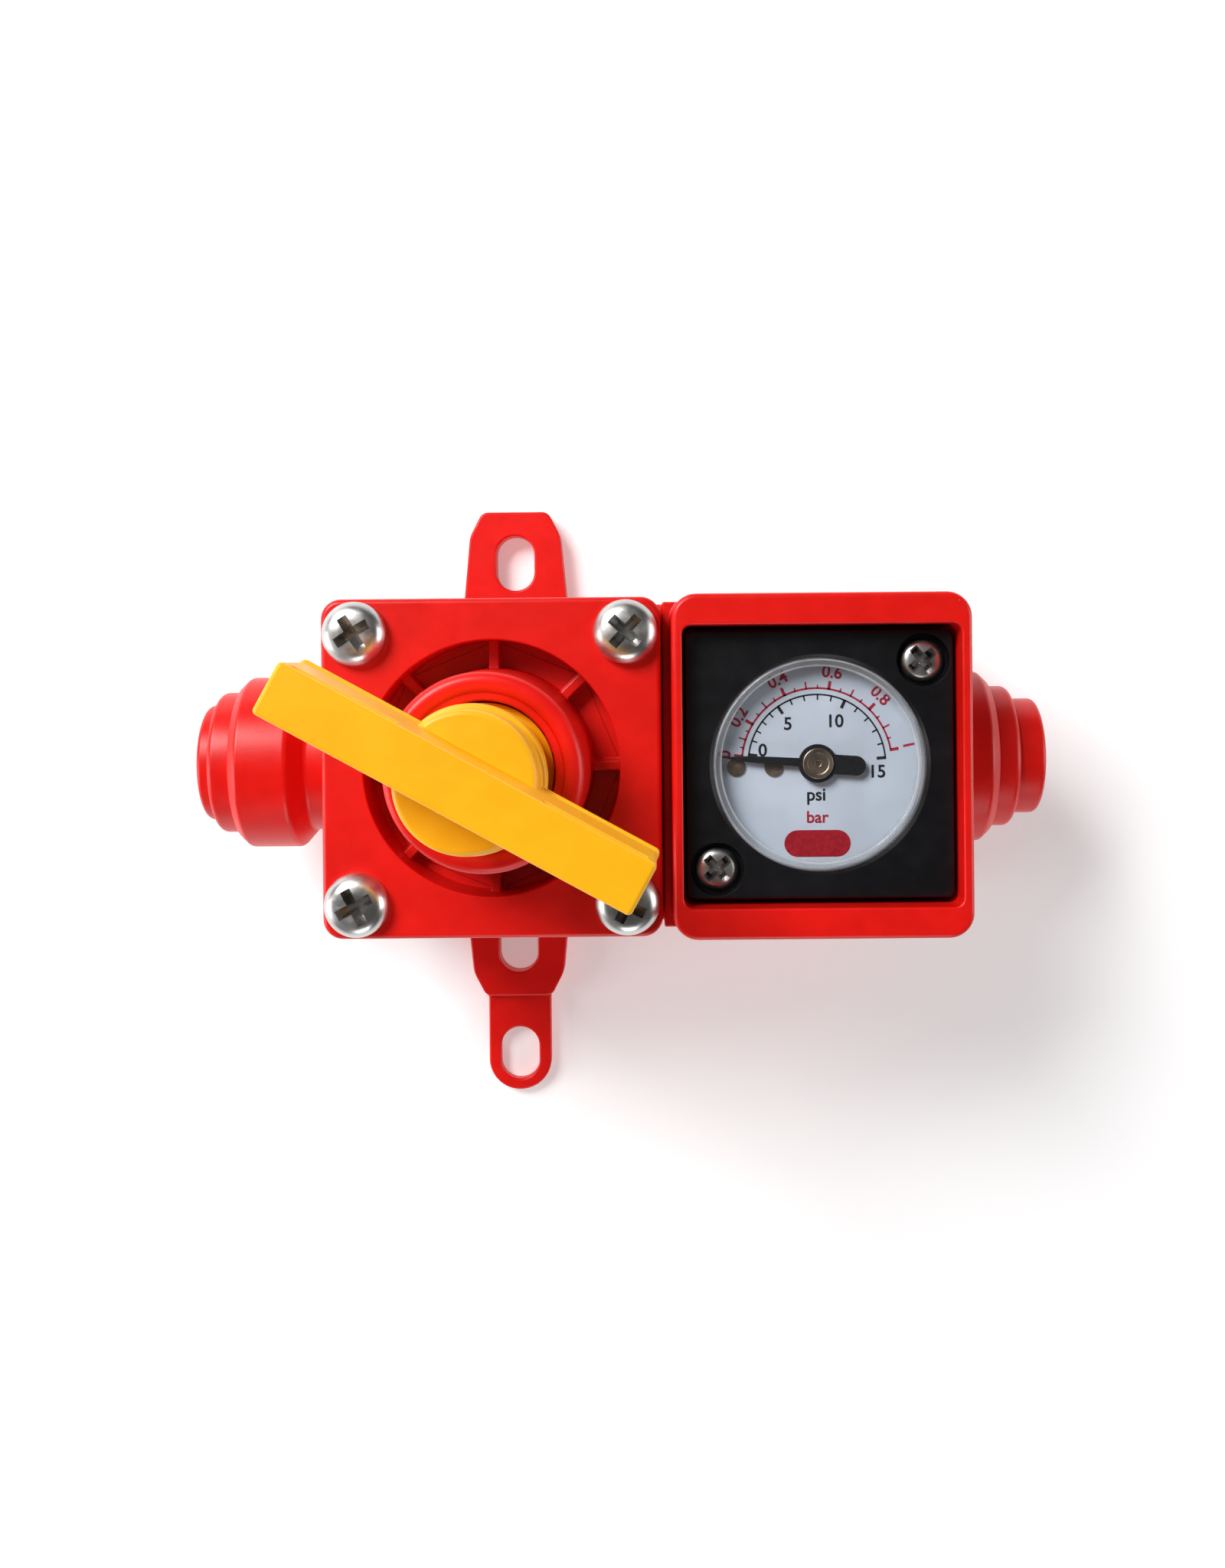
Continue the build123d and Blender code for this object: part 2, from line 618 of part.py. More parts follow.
def valve_plug():
    """Screwed plug behind the valve, with the poppet's guide bore and a hex socket."""
    nose_r = VALVE_CHAMBER_R - SLIP_GAP
    shape = rod(PLUG_R, PLUG_BACK, PLUG_SHOULDER) + rod(nose_r, PLUG_SHOULDER, PLUG_NOSE_TOP)
    low = PLUG_SHOULDER + PLUG_RING_AT
    groove_r = VALVE_CHAMBER_R - 2 * PLUG_RING_R
    shape -= rod(nose_r + 1, low, low + 2 * PLUG_RING_R) - rod(groove_r, low, low + 2 * PLUG_RING_R)
    guide_end = POPPET_GUIDE_END - POPPET_LIFT - MOVE_GAP
    shape -= rod(POPPET_GUIDE_R + RUN_GAP, guide_end - GUIDE_ROOM, PLUG_NOSE_TOP)
    hexagon = extrude(RegularPolygon(PLUG_HEX_R, 6), PLUG_HEX_DEPTH)
    return shape - Pos(0, 0, PLUG_BACK) * hexagon


def plug_o_ring():
    """Seal between the valve plug and the valve chamber."""
    z = PLUG_SHOULDER + PLUG_RING_AT + PLUG_RING_R
    return ring(VALVE_CHAMBER_R - PLUG_RING_R, PLUG_RING_R - FIT_GAP, z)


def cartridge():
    """Insert that holds the collet and closes the fitting's bore."""
    shape = rod(CARTRIDGE_R, -CARTRIDGE_HEAD, 0)
    shape = fillet(shape.edges().sort_by(Axis.Z)[-1], CARTRIDGE_EDGE_R)
    shape += rod(CARTRIDGE_SEAT_R - FIT_GAP, -CARTRIDGE_LENGTH, -CARTRIDGE_HEAD)
    bore_r = COLLET_R + SLIP_GAP
    hollow = turned(
        (
            (0, -CARTRIDGE_LENGTH),
            (CONE_END_R, -CARTRIDGE_LENGTH),
            (bore_r, -CONE_START),
            (bore_r, -COLLET_TRAVEL - SLIP_GAP),
            (COLLET_FLANGE_R + SLIP_GAP * 2, -COLLET_TRAVEL - SLIP_GAP),
            (COLLET_FLANGE_R + SLIP_GAP * 2, 0),
            (0, 0),
        )
    )
    return shape - hollow


def collet(sunk):
    """Release collet, whose slit fingers hold the tube; sunk is how far it is pushed in."""
    shape = rod(COLLET_FLANGE_R, 0, COLLET_FLANGE_T)
    shape = fillet(shape.edges().sort_by(Axis.Z)[-1], COLLET_EDGE_R)
    shape += turned(
        (
            (0, -COLLET_LENGTH),
            (COLLET_TIP_R, -COLLET_LENGTH),
            (COLLET_R, -CONE_START),
            (COLLET_R, 0),
            (0, 0),
        )
    )
    shape -= rod(TUBE_BORE_R, -COLLET_LENGTH, COLLET_FLANGE_T)
    shape -= rod(GRAB_R + FIT_GAP, -GRAB_AT - GRAB_GROOVE_W / 2, -GRAB_AT + GRAB_GROOVE_W / 2)
    slit = Pos(0, 0, -COLLET_LENGTH) * Box(
        3 * COLLET_R, COLLET_SLIT_W, COLLET_LENGTH - COLLET_TRAVEL, align=LOW
    )
    shape = shape - slit - Rot(0, 0, 90) * slit
    return Pos(0, 0, -sunk) * shape


def grab_ring(sunk):
    """Toothed steel ring in the collet that bites the tube."""
    low = -GRAB_AT - GRAB_T / 2
    high = -GRAB_AT + GRAB_T / 2
    shape = rod(GRAB_R, low, high) - rod(GRAB_TOOTH_R, low, high)
    gap = Pos(0, 0, low) * Box(
        2 * (TUBE_BORE_R + GRAB_NOTCH_REACH), COLLET_SLIT_W / 2, GRAB_T, align=LOW
    )
    for i in range(GRAB_TEETH // 2):
        shape -= Rot(0, 0, 360 / GRAB_TEETH * i) * gap
    return Pos(0, 0, -sunk) * shape


def tube_o_rings():
    """The two seals that grip the tube."""
    centre = RING_BORE_R - TUBE_RING_R - FIT_GAP * 2
    return Compound([ring(centre, TUBE_RING_R, -at) for at in TUBE_RING_AT])


def ring_spacer():
    """Plain ring that keeps the two seals apart."""
    middle = -sum(TUBE_RING_AT) / 2
    low = middle - SPACER_T / 2
    high = middle + SPACER_T / 2
    return rod(RING_BORE_R - SLIP_GAP, low, high) - rod(TUBE_BORE_R + SLIP_GAP, low, high)


def gauge_screw_places():
    """The two screw places on a diagonal of the gauge."""
    return [(sign * GAUGE_SCREW_AT, sign * GAUGE_SCREW_AT) for sign in (-1, 1)]


def gauge_case():
    """Back half of the gauge, a square cup with a hole for the stub."""
    shape = slab(GAUGE, GAUGE, GAUGE_BACK, GAUGE_SPLIT, GAUGE_CORNER_R)
    shape -= rod(CASE_R, CASE_FLOOR, GAUGE_SPLIT) + rod(STUB_R + SLIP_GAP, GAUGE_BACK, CASE_FLOOR)
    for at in gauge_screw_places():
        shape -= rod(GAUGE_SCREW[2] + SLIP_GAP, GAUGE_BACK, GAUGE_SPLIT, at)
    return GAUGE_AT * shape


def gauge_bezel():
    """Front half of the gauge, with the round window and the screw recesses."""
    shape = slab(GAUGE, GAUGE, GAUGE_SPLIT, GAUGE_FACE, GAUGE_CORNER_R)
    shape = fillet(shape.faces().sort_by(Axis.Z)[-1].edges(), GAUGE_CORNER_R / 2)
    lip = GAUGE_FACE - BEZEL_LIP
    shape -= rod(BEZEL_BORE_R, GAUGE_SPLIT, lip) + rod(WINDOW_R, lip, GAUGE_FACE)
    mouth = WINDOW_R + WINDOW_CHAMFER
    chamfer_low = GAUGE_FACE - WINDOW_CHAMFER
    shape -= turned(((0, chamfer_low), (WINDOW_R, chamfer_low), (mouth, GAUGE_FACE), (0, GAUGE_FACE)))
    seat = GAUGE_FACE - GAUGE_SCREW_RECESS
    for at in gauge_screw_places():
        shape -= rod(GAUGE_SCREW_RECESS_R, seat, GAUGE_FACE, at)
        shape -= rod(GAUGE_SCREW[2] + SLIP_GAP, GAUGE_SPLIT, seat, at)
    return GAUGE_AT * shape


def lens_span():
    """Lowest and highest points of the gauge's window."""
    high = GAUGE_FACE - BEZEL_LIP
    return high - LENS_T, high


def gauge_lens():
    """Clear window, whose crown stands up in the bezel."""
    low, high = lens_span()
    crown = rod(WINDOW_R - LENS_CROWN_GAP, low, high + LENS_CROWN_H)
    crown = fillet(crown.edges().sort_by(Axis.Z)[-1], LENS_CROWN_EDGE_R)
    return GAUGE_AT * (rod(BEZEL_BORE_R - SLIP_GAP, low, high) + crown)


def lens_ring():
    """Ring that holds the window off the dial."""
    low = GAUGE_SPLIT + DIAL_T
    high = lens_span()[0]
    return GAUGE_AT * (rod(BEZEL_BORE_R - SLIP_GAP, low, high) - rod(WINDOW_R, low, high))


def gauge_dial():
    """Printed dial plate."""
    low = GAUGE_SPLIT
    high = low + DIAL_T
    shape = rod(BEZEL_BORE_R - SLIP_GAP, low, high) - rod(SHAFT_R + MOVE_GAP, low, high)
    for at in DIAL_RIVETS:
        shape -= rod(RIVET_SHANK_R + FIT_GAP, low, high, at)
    return GAUGE_AT * shape


def dial_rivets():
    """Two rivets that fix the dial to the movement's frame."""
    face = GAUGE_SPLIT + DIAL_T
    low = FRAME_Z[1] + FRAME_T
    parts = []
    for at in DIAL_RIVETS:
        head = rod(RIVET_R, face, face + RIVET_HEAD_H, at)
        parts.append(head + rod(RIVET_SHANK_R, low, face, at))
    return GAUGE_AT * Compound(parts)


def gauge_pointer():
    """Pointer with a round hub and a short tail."""
    low = POINTER_BOTTOM
    high = low + POINTER_T
    blade = Polyline(
        (0, POINTER_W / 2),
        (POINTER_TIP * POINTER_NECK_AT, POINTER_NECK_W / 2),
        (POINTER_TIP, POINTER_END_W / 2),
        (POINTER_TIP, -POINTER_END_W / 2),
        (POINTER_TIP * POINTER_NECK_AT, -POINTER_NECK_W / 2),
        (0, -POINTER_W / 2),
        close=True,
    )
    shape = Pos(0, 0, low) * extrude(make_face(blade), POINTER_T)
    shape += rod(POINTER_HUB_R, low, high)
    tail = POINTER_TAIL - POINTER_TAIL_W / 2
    shape += slab(tail, POINTER_TAIL_W, low, high, 0, (-tail / 2, 0))
    shape += rod(POINTER_TAIL_W / 2, low, high, (-tail, 0))
    shape -= rod(SHAFT_R + FIT_GAP, low, high)
    return GAUGE_AT * Rot(0, 0, POINTER_ANGLE) * shape


def pointer_cap():
    """Pressed bush that holds the pointer on its shaft."""
    low = POINTER_BOTTOM + POINTER_T
    return GAUGE_AT * (rod(CAP_R, low, low + CAP_T) - rod(SHAFT_R + FIT_GAP, low, low + CAP_T / 2))


def gear(teeth, low, high, first=0.0, count=None):
    """Straight-sided gear teeth about Z; first is the angle of the first tooth's centre."""
    pitch_r = teeth * GEAR_MODULE / 2
    step = 360 / teeth
    half = GEAR_MODULE * pi / 4 - TOOTH_BACKLASH
    root = pitch_r - TOOTH_HEIGHT - TOOTH_CLEARANCE
    tip = pitch_r + TOOTH_HEIGHT
    outline = Polyline(
        (root - TOOTH_SUNK, half * TOOTH_ROOT_W),
        (pitch_r, half),
        (tip, half * TOOTH_TIP_W),
        (tip, -half * TOOTH_TIP_W),
        (pitch_r, -half),
        (root - TOOTH_SUNK, -half * TOOTH_ROOT_W),
        close=True,
    )
    tooth = Pos(0, 0, low) * extrude(make_face(outline), high - low)
    return root, [Rot(0, 0, first + step * i) * tooth for i in range(count or teeth)]


def gauge_pinion():
    """Pinion and shaft that turn the pointer."""
    low, high = PINION_Z
    root, teeth = gear(PINION_TEETH, low, high, -90 + 180 / PINION_TEETH)
    shape = rod(root, low, high)
    for tooth in teeth:
        shape += tooth
    shape += rod(SHAFT_R, FRAME_Z[0], POINTER_BOTTOM + POINTER_T + CAP_T / 2 - SEAT_GAP)
    return GAUGE_AT * shape


def sector_pivot():
    """Where the sector turns, in the gauge's own frame."""
    return (0, -(PINION_TEETH + SECTOR_TEETH) * GEAR_MODULE / 2)


def sector_gear():
    """Toothed sector with the tail that the link pulls."""
    low, high = GEAR_Z
    step = 360 / SECTOR_TEETH
    count = int((SECTOR_SWING + 2 * SECTOR_MARGIN) / step) + 1
    right = -step * int((SECTOR_SWING + SECTOR_MARGIN) / step)
    root, teeth = gear(SECTOR_TEETH, low, high, 90 + right, count)
    left = right + step * (count - 1)
    rim = rod(root, low, high) - rod(root - SECTOR_RIM_T, low, high)
    wedge = Polyline(
        (0, 0),
        (-SECTOR_REACH * sin(radians(left)), SECTOR_REACH * cos(radians(left))),
        (-SECTOR_REACH * sin(radians(right)), SECTOR_REACH * cos(radians(right))),
        close=True,
    )
    shape = rim & Pos(0, 0, low) * extrude(make_face(wedge), high - low)
    for tooth in teeth:
        shape += tooth
    reach = root - SECTOR_RIM_T / 2
    for angle in (left - SECTOR_SPOKE_IN, (left + right) / 2, right + SECTOR_SPOKE_IN):
        spoke = slab(reach, SECTOR_SPOKE_W, low, high, 0, (reach / 2, 0))
        shape += Rot(0, 0, 90 + angle) * spoke
    shape += rod(SECTOR_HUB_R, low, high)
    shape += Rot(0, 0, TAIL_ANGLE) * slab(TAIL_R, TAIL_W, low, high, 0, (TAIL_R / 2, 0))
    tail = (TAIL_R * cos(radians(TAIL_ANGLE)), TAIL_R * sin(radians(TAIL_ANGLE)))
    shape += rod(TAIL_END_R, low, high, tail) + rod(TAIL_PIN_R, low, LINK_Z[1], tail)
    shape += rod(PIVOT_R, FRAME_Z[0], FRAME_Z[1] + FRAME_T)
    return GAUGE_AT * Pos(*sector_pivot(), 0) * shape


def tail_place():
    """Where the link joins the sector's tail, in the gauge's own frame."""
    x, y = sector_pivot()
    return x + TAIL_R * cos(radians(TAIL_ANGLE)), y + TAIL_R * sin(radians(TAIL_ANGLE))


def tip_place():
    """Where the link meets the pressure tube's tip, in the gauge's own frame."""
    reach = TUBE_R - TUBE_W / 2 - TUBE_PIN_IN
    return reach * cos(radians(TUBE_TIP)), reach * sin(radians(TUBE_TIP))


def gauge_link():
    """Flat link from the pressure tube's tip to the sector's tail."""
    low, high = LINK_Z
    a = Vector(*tail_place(), 0)
    b = Vector(*tip_place(), 0)
    along = b - a
    middle = (a + b) / 2
    turn = Rot(0, 0, degrees(atan2(along.Y, along.X)))
    shape = Pos(middle.X, middle.Y, 0) * turn * slab(along.length, LINK_W, low, high)
    for at, pin_r in ((a, TAIL_PIN_R), (b, TUBE_PIN_R)):
        shape += rod(LINK_END_R, low, high, (at.X, at.Y))
        shape -= rod(pin_r + RUN_GAP, low, high, (at.X, at.Y))
    return GAUGE_AT * shape


def bourdon_tube():
    """Curved pressure tube, closed at its tip by a lug with the link's pin."""
    low, high = TUBE_Z
    shape = rod(TUBE_R + TUBE_W / 2, low, high) - rod(TUBE_R - TUBE_W / 2, low, high)
    far = 3 * TUBE_R
    root = (far * cos(radians(TUBE_ROOT)), far * sin(radians(TUBE_ROOT)))
    tip = (far * cos(radians(TUBE_TIP)), far * sin(radians(TUBE_TIP)))
    gap = make_face(Polyline((0, 0), root, (0, -2 * far), tip, close=True))
    shape -= Pos(0, 0, low) * extrude(gap, high - low)
    at = tip_place()
    top = LINK_Z[0] - SEAT_GAP
    lug = slab(*TUBE_LUG, top - TUBE_LUG_T, top, 0, TUBE_LUG_AT)
    shape += Rot(0, 0, TUBE_TIP + TUBE_LUG_TURN) * lug
    shape += rod(TUBE_PIN_R, top - TUBE_LUG_T / 2, LINK_Z[1], at)
    return GAUGE_AT * shape


def movement_frame():
    """Two plates and their pillars, which carry the pinion and the sector."""
    outline = Polyline(*FRAME_OUTLINE, close=True)
    plate = extrude(make_face(outline), FRAME_T)
    back, front = FRAME_Z
    parts = [Pos(0, 0, back - FRAME_T) * plate, Pos(0, 0, front) * plate]
    pillars = DIAL_RIVETS + (SPARE_PILLAR,)
    shape = parts[0] + parts[1]
    for at in pillars:
        shape += rod(PILLAR_R, back - FRAME_T, front + FRAME_T, at)
    for at, radius in (((0, 0), SHAFT_R), (sector_pivot(), PIVOT_R)):
        shape -= rod(radius + RUN_GAP, back - FRAME_T, front + FRAME_T, at)
    return GAUGE_AT * shape


def gauge_socket():
    """Brass stub, base and root block of the pressure tube."""
    base_top = FRAME_Z[0] - FRAME_T
    shape = rod(STUB_R, STUB_END, base_top)
    arm = slab(TUBE_R, ROOT_ARM_W, CASE_FLOOR, base_top, 0, (TUBE_R / 2, 0))
    block = slab(*ROOT_BLOCK, CASE_FLOOR, TUBE_Z[1], 0, (TUBE_R, ROOT_BLOCK_AT + SEAT_GAP))
    shape += Rot(0, 0, TUBE_ROOT) * arm
    shape += Rot(0, 0, TUBE_ROOT) * block
    low = (STUB_END + GAUGE_BACK) / 2 - STUB_RING_R
    groove = rod(STUB_R + 1, low, low + 2 * STUB_RING_R)
    groove -= rod(STUB_R + SLIP_GAP - 2 * STUB_RING_R, low, low + 2 * STUB_RING_R)
    shape -= groove
    shape -= rod(TAP_R, STUB_END, CASE_FLOOR)
    return GAUGE_AT * shape


def gauge_o_ring():
    """Seal between the gauge's stub and the body."""
    z = (STUB_END + GAUGE_BACK) / 2
    return GAUGE_AT * ring(STUB_R + SLIP_GAP - STUB_RING_R, STUB_RING_R - FIT_GAP, z)


def gauge_screws():
    """Two screws that hold the gauge in its housing."""
    seat = GAUGE_FACE - GAUGE_SCREW_RECESS
    parts = [pan_screw(GAUGE_SCREW, at, seat) for at in gauge_screw_places()]
    return GAUGE_AT * Compound(parts)


def half_ear():
    """Half outline of one ear, from its root to its flat end."""
    return [
        (EAR_ROOT_W / 2, BLOCK / 2),
        (EAR_TIP_W / 2, EAR_TAPER_END),
        (EAR_END_W / 2, EAR_END),
    ]


def bracket():
    """Strip across the back with a slotted ear at each end and a thin slotted tongue."""
    right = half_ear()
    left = [(-x, y) for x, y in reversed(right)]
    upper = right + left
    points = upper + [(x, -y) for x, y in reversed(upper)]
    outline = make_face(Polyline(*points, close=True))
    tips = [v for v in outline.vertices() if abs(v.Y) > EAR_TAPER_END - 0.01]
    shape = extrude(fillet(tips, EAR_CORNER_R), BRACKET_T)
    straight = TONGUE_END - TONGUE_W / 2
    tongue = slab(TONGUE_W, straight - BLOCK / 2, 0, TONGUE_T, 0, (0, -(straight + BLOCK / 2) / 2))
    shape += tongue + rod(TONGUE_W / 2, 0, TONGUE_T, (0, -straight))
    for y, length in ((SLOT_Y, SLOT_LENGTH), (-SLOT_Y, SLOT_LENGTH), (-TONGUE_SLOT_Y, TONGUE_SLOT_LENGTH)):
        slot = Rot(0, 0, 90) * SlotOverall(length, SLOT_W)
        shape -= Pos(0, y, 0) * extrude(slot, BRACKET_T)
    for sign in (-1, 1):
        at = (0, sign * BRACKET_SCREW_Y)
        shape -= rod(BRACKET_SCREW[0] + SLIP_GAP, 0, BRACKET_SCREW[1] + SLIP_GAP, at)
        shape -= rod(BRACKET_SCREW[2] + SLIP_GAP, 0, BRACKET_T, at)
    return shape


def bracket_screws():
    """Two screws that hold the bracket to the body, sunk in its back."""
    seat = BRACKET_SCREW[1] + SLIP_GAP
    parts = [pan_screw(BRACKET_SCREW, (0, s * BRACKET_SCREW_Y), seat, -1) for s in (-1, 1)]
    return Compound(parts)


def fitting_parts(side, sunk):
    """Every piece of one push-in fitting, in its place."""
    pieces = {
        "cartridge": cartridge(),
        "collet": collet(sunk),
        "grab_ring": grab_ring(sunk),
        "o_rings": tube_o_rings(),
        "ring_spacer": ring_spacer(),
    }
    return {f"{side}_{name}": at_fitting(side, shape) for name, shape in pieces.items()}


def main():
    """Models every piece and writes it."""
    makers = (
        body,
        bonnet,
        bonnet_screws,
        knob,
        spring_seat,
        range_spring,
        diaphragm,
        diaphragm_plate,
        valve_seat,
        seat_o_ring,
        poppet,
        poppet_seal,
        poppet_spring,
        valve_plug,
        plug_o_ring,
        gauge_case,
        gauge_bezel,
        gauge_lens,
        lens_ring,
        gauge_dial,
        dial_rivets,
        gauge_pointer,
        pointer_cap,
        gauge_pinion,
        sector_gear,
        gauge_link,
        bourdon_tube,
        movement_frame,
        gauge_socket,
        gauge_o_ring,
        gauge_screws,
        bracket,
        bracket_screws,
    )
    pieces = {make.__name__: make() for make in makers}
    pieces.update(fitting_parts("inlet", COLLET_TRAVEL))
    pieces.update(fitting_parts("outlet", 0.0))
    os.makedirs("parts", exist_ok=True)
    for name, shape in pieces.items():
        export_step(shape, f"parts/{name}.step")
    turn = KNOB_TURNS * THREAD_PITCH
    print(f"{len(pieces)} pieces; the knob travels {turn:.1f} mm over {KNOB_TURNS * 360:.0f} degrees")


if __name__ == "__main__":
    main()
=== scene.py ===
"""Looks of an inline carbon dioxide regulator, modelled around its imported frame.

The frame and every finished object are in metres. Solids are worked in millimetres and are
brought to metres when they are finished.
"""

import json
import logging
import math
from dataclasses import dataclass
from enum import Enum
from typing import Callable, Iterable, Optional, Sequence, Union

import bmesh
import bpy
from mathutils import Matrix, Vector


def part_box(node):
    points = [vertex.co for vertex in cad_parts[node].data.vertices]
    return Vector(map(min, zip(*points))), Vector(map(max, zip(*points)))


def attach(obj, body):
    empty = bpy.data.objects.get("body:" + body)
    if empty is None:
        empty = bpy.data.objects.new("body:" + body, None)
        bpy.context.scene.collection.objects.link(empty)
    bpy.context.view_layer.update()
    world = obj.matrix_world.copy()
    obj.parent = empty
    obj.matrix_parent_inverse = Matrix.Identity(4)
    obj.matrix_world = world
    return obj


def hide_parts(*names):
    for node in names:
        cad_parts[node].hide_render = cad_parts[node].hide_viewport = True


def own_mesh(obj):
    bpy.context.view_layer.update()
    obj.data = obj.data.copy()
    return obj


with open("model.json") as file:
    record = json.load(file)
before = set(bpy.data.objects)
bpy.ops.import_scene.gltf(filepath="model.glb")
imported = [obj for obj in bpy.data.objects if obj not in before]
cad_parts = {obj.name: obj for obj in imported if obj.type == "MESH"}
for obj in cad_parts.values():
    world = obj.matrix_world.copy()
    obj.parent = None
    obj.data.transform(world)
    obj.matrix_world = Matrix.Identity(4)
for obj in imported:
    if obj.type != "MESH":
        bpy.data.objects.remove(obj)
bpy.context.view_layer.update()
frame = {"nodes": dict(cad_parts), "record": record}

MM = 0.001
FULL_TURN = 2 * math.pi
LOG = logging.getLogger("regulator")

Point = tuple[float, float]
Triple = tuple[float, float, float]
Colour = Triple
Solid = bmesh.types.BMesh
Item = bpy.types.Object


# ---------------------------------------------------------------- shader maths


class Signal:
    """One node output, on which Python arithmetic adds Math nodes."""

    def __init__(self, tree: "Tree", socket: bpy.types.NodeSocket) -> None:
        """Wraps a socket of a tree.

        Args:
            tree: the tree that the socket's node is in.
            socket: the output to work on.
        """
        self.tree = tree
        self.socket = socket

    @staticmethod
    def _operator(operation: str, reflected: bool = False) -> Callable:
        """Makes an arithmetic method that adds a Math node.

        Args:
            operation: the node's operation.
            reflected: whether the signal is its second operand.

        Returns:
            The method.
        """

        def method(self: "Signal", other: object) -> "Signal":
            """Adds the node."""
            first, second = (other, self) if reflected else (self, other)
            node = self.tree.add("ShaderNodeMath", {"operation": operation}, {0: first, 1: second})
            return Signal(self.tree, node.outputs[0])

        return method

    __add__ = _operator("ADD")
    __radd__ = _operator("ADD", True)
    __sub__ = _operator("SUBTRACT")
    __rsub__ = _operator("SUBTRACT", True)
    __mul__ = _operator("MULTIPLY")
    __rmul__ = _operator("MULTIPLY", True)

    def ramp(self, low: float, high: float, start: float = 0.0, end: float = 1.0) -> "Signal":
        """Takes values from low to high smoothly to values from start to end.

        Args:
            low: the value that gives start.
            high: the value that gives end.
            start: the result at and below low.
            end: the result at and above high.

        Returns:
            The mapped signal.
        """
        node = self.tree.add(
            "ShaderNodeMapRange",
            {"interpolation_type": "SMOOTHSTEP"},
            {"Value": self, "From Min": low, "From Max": high, "To Min": start, "To Max": end},
        )
        return Signal(self.tree, node.outputs["Result"])


class Tree:
    """A material's node tree, with one method for any node."""

    def __init__(self, name: str) -> None:
        """Starts an empty material.

        Args:
            name: the material's name.
        """
        self.material = bpy.data.materials.new(name)
        self.material.use_nodes = True
        self.nodes = self.material.node_tree.nodes
        self.links = self.material.node_tree.links
        self.nodes.clear()
        self.place = self.add("ShaderNodeTexCoord").outputs["Object"]

    def add(
        self,
        kind: str,
        settings: Optional[dict[str, object]] = None,
        values: Optional[dict[Union[str, int], object]] = None,
    ) -> bpy.types.Node:
        """Adds a node of any type.

        Args:
            kind: the node's type.
            settings: its own settings, which are set first.
            values: what its inputs get, by name or number: a value, a socket or a signal.

        Returns:
            The node.
        """
        node = self.nodes.new(kind)
        for name, value in (settings or {}).items():
            setattr(node, name, value)
        for key, value in (values or {}).items():
            socket = node.inputs[key]
            if isinstance(value, Signal):
                self.links.new(value.socket, socket)
            elif isinstance(value, bpy.types.NodeSocket):
                self.links.new(value, socket)
            else:
                socket.default_value = value
        return node

    def noise(
        self,
        size_mm: float,
        detail: float = 2.0,
        rough: float = 0.5,
        stretch: Optional[Triple] = None,
    ) -> Signal:
        """Cloudy noise with features of about one size.

        Args:
            size_mm: how far apart its features are.
            detail: how many finer layers it has.
            rough: how strong they are.
            stretch: a scale for each axis, to draw the noise out.

        Returns:
            The noise, about 0.5 on average.
        """
        place = self.place
        if stretch:
            drawn = {"Vector": place, "Scale": stretch}
            place = self.add("ShaderNodeMapping", None, drawn).outputs[0]
        scale = 1 / (size_mm * MM)
        values = {"Vector": place, "Scale": scale, "Detail": detail, "Roughness": rough}
        return Signal(self, self.add("ShaderNodeTexNoise", None, values).outputs["Fac"])

    def specks(self, size_mm: float, share: float) -> Signal:
        """Separate round specks.

        Args:
            size_mm: the distance between them.
            share: how large each one is, as a share of that distance.

        Returns:
            1 inside a speck and 0 outside.
        """
        values = {"Vector": self.place, "Scale": 1 / (size_mm * MM)}
        node = self.add("ShaderNodeTexVoronoi", {"feature": "F1"}, values)
        return Signal(self, node.outputs["Distance"]).ramp(share, share * 0.6)

    def radial(self, centre: Point) -> Signal:
        """Distance in metres from an upright axis.

        Args:
            centre: the axis's X and Y.

        Returns:
            The distance.
        """
        moved = {"Vector": self.place, "Location": (-centre[0], -centre[1], 0), "Scale": (1, 1, 0)}
        flat = self.add("ShaderNodeMapping", None, moved).outputs[0]
        node = self.add("ShaderNodeVectorMath", {"operation": "LENGTH"}, {0: flat})
        return Signal(self, node.outputs["Value"])

    def blend(self, factor: object, first: Colour, second: Colour) -> bpy.types.NodeSocket:
        """Mixes two colours.

        Args:
            factor: 0 gives the first and 1 the second.
            first: a colour.
            second: a colour.

        Returns:
            The mixed colour's socket.
        """
        values = {0: factor, 6: (*first, 1.0), 7: (*second, 1.0)}
        return self.add("ShaderNodeMix", {"data_type": "RGBA"}, values).outputs[2]

    def bump(self, height: object, depth_mm: float, strength: float = 1.0) -> bpy.types.NodeSocket:
        """A normal from a height.

        Args:
            height: the height signal.
            depth_mm: how deep a height of 1 is.
            strength: how much of it shows.

        Returns:
            The normal's socket.
        """
        values = {"Height": height, "Distance": depth_mm * MM, "Strength": strength}
        return self.add("ShaderNodeBump", None, values).outputs["Normal"]

    def surface(self, values: dict[Union[str, int], object]) -> bpy.types.Material:
        """Closes the tree with a Principled shader.

        Args:
            values: what the shader's inputs get.

        Returns:
            The finished material.
        """
        shader = self.add("ShaderNodeBsdfPrincipled", None, values)
        self.add("ShaderNodeOutputMaterial", None, {"Surface": shader.outputs[0]})
        return self.material


def shade(colour: Colour, share: float) -> Colour:
    """A colour made lighter or darker.

    Args:
        colour: red, green and blue.
        share: what each is multiplied by.

    Returns:
        The new colour, at most 1 each.
    """
    return tuple(min(1.0, c * share) for c in colour)


# ---------------------------------------------------------------- finishes


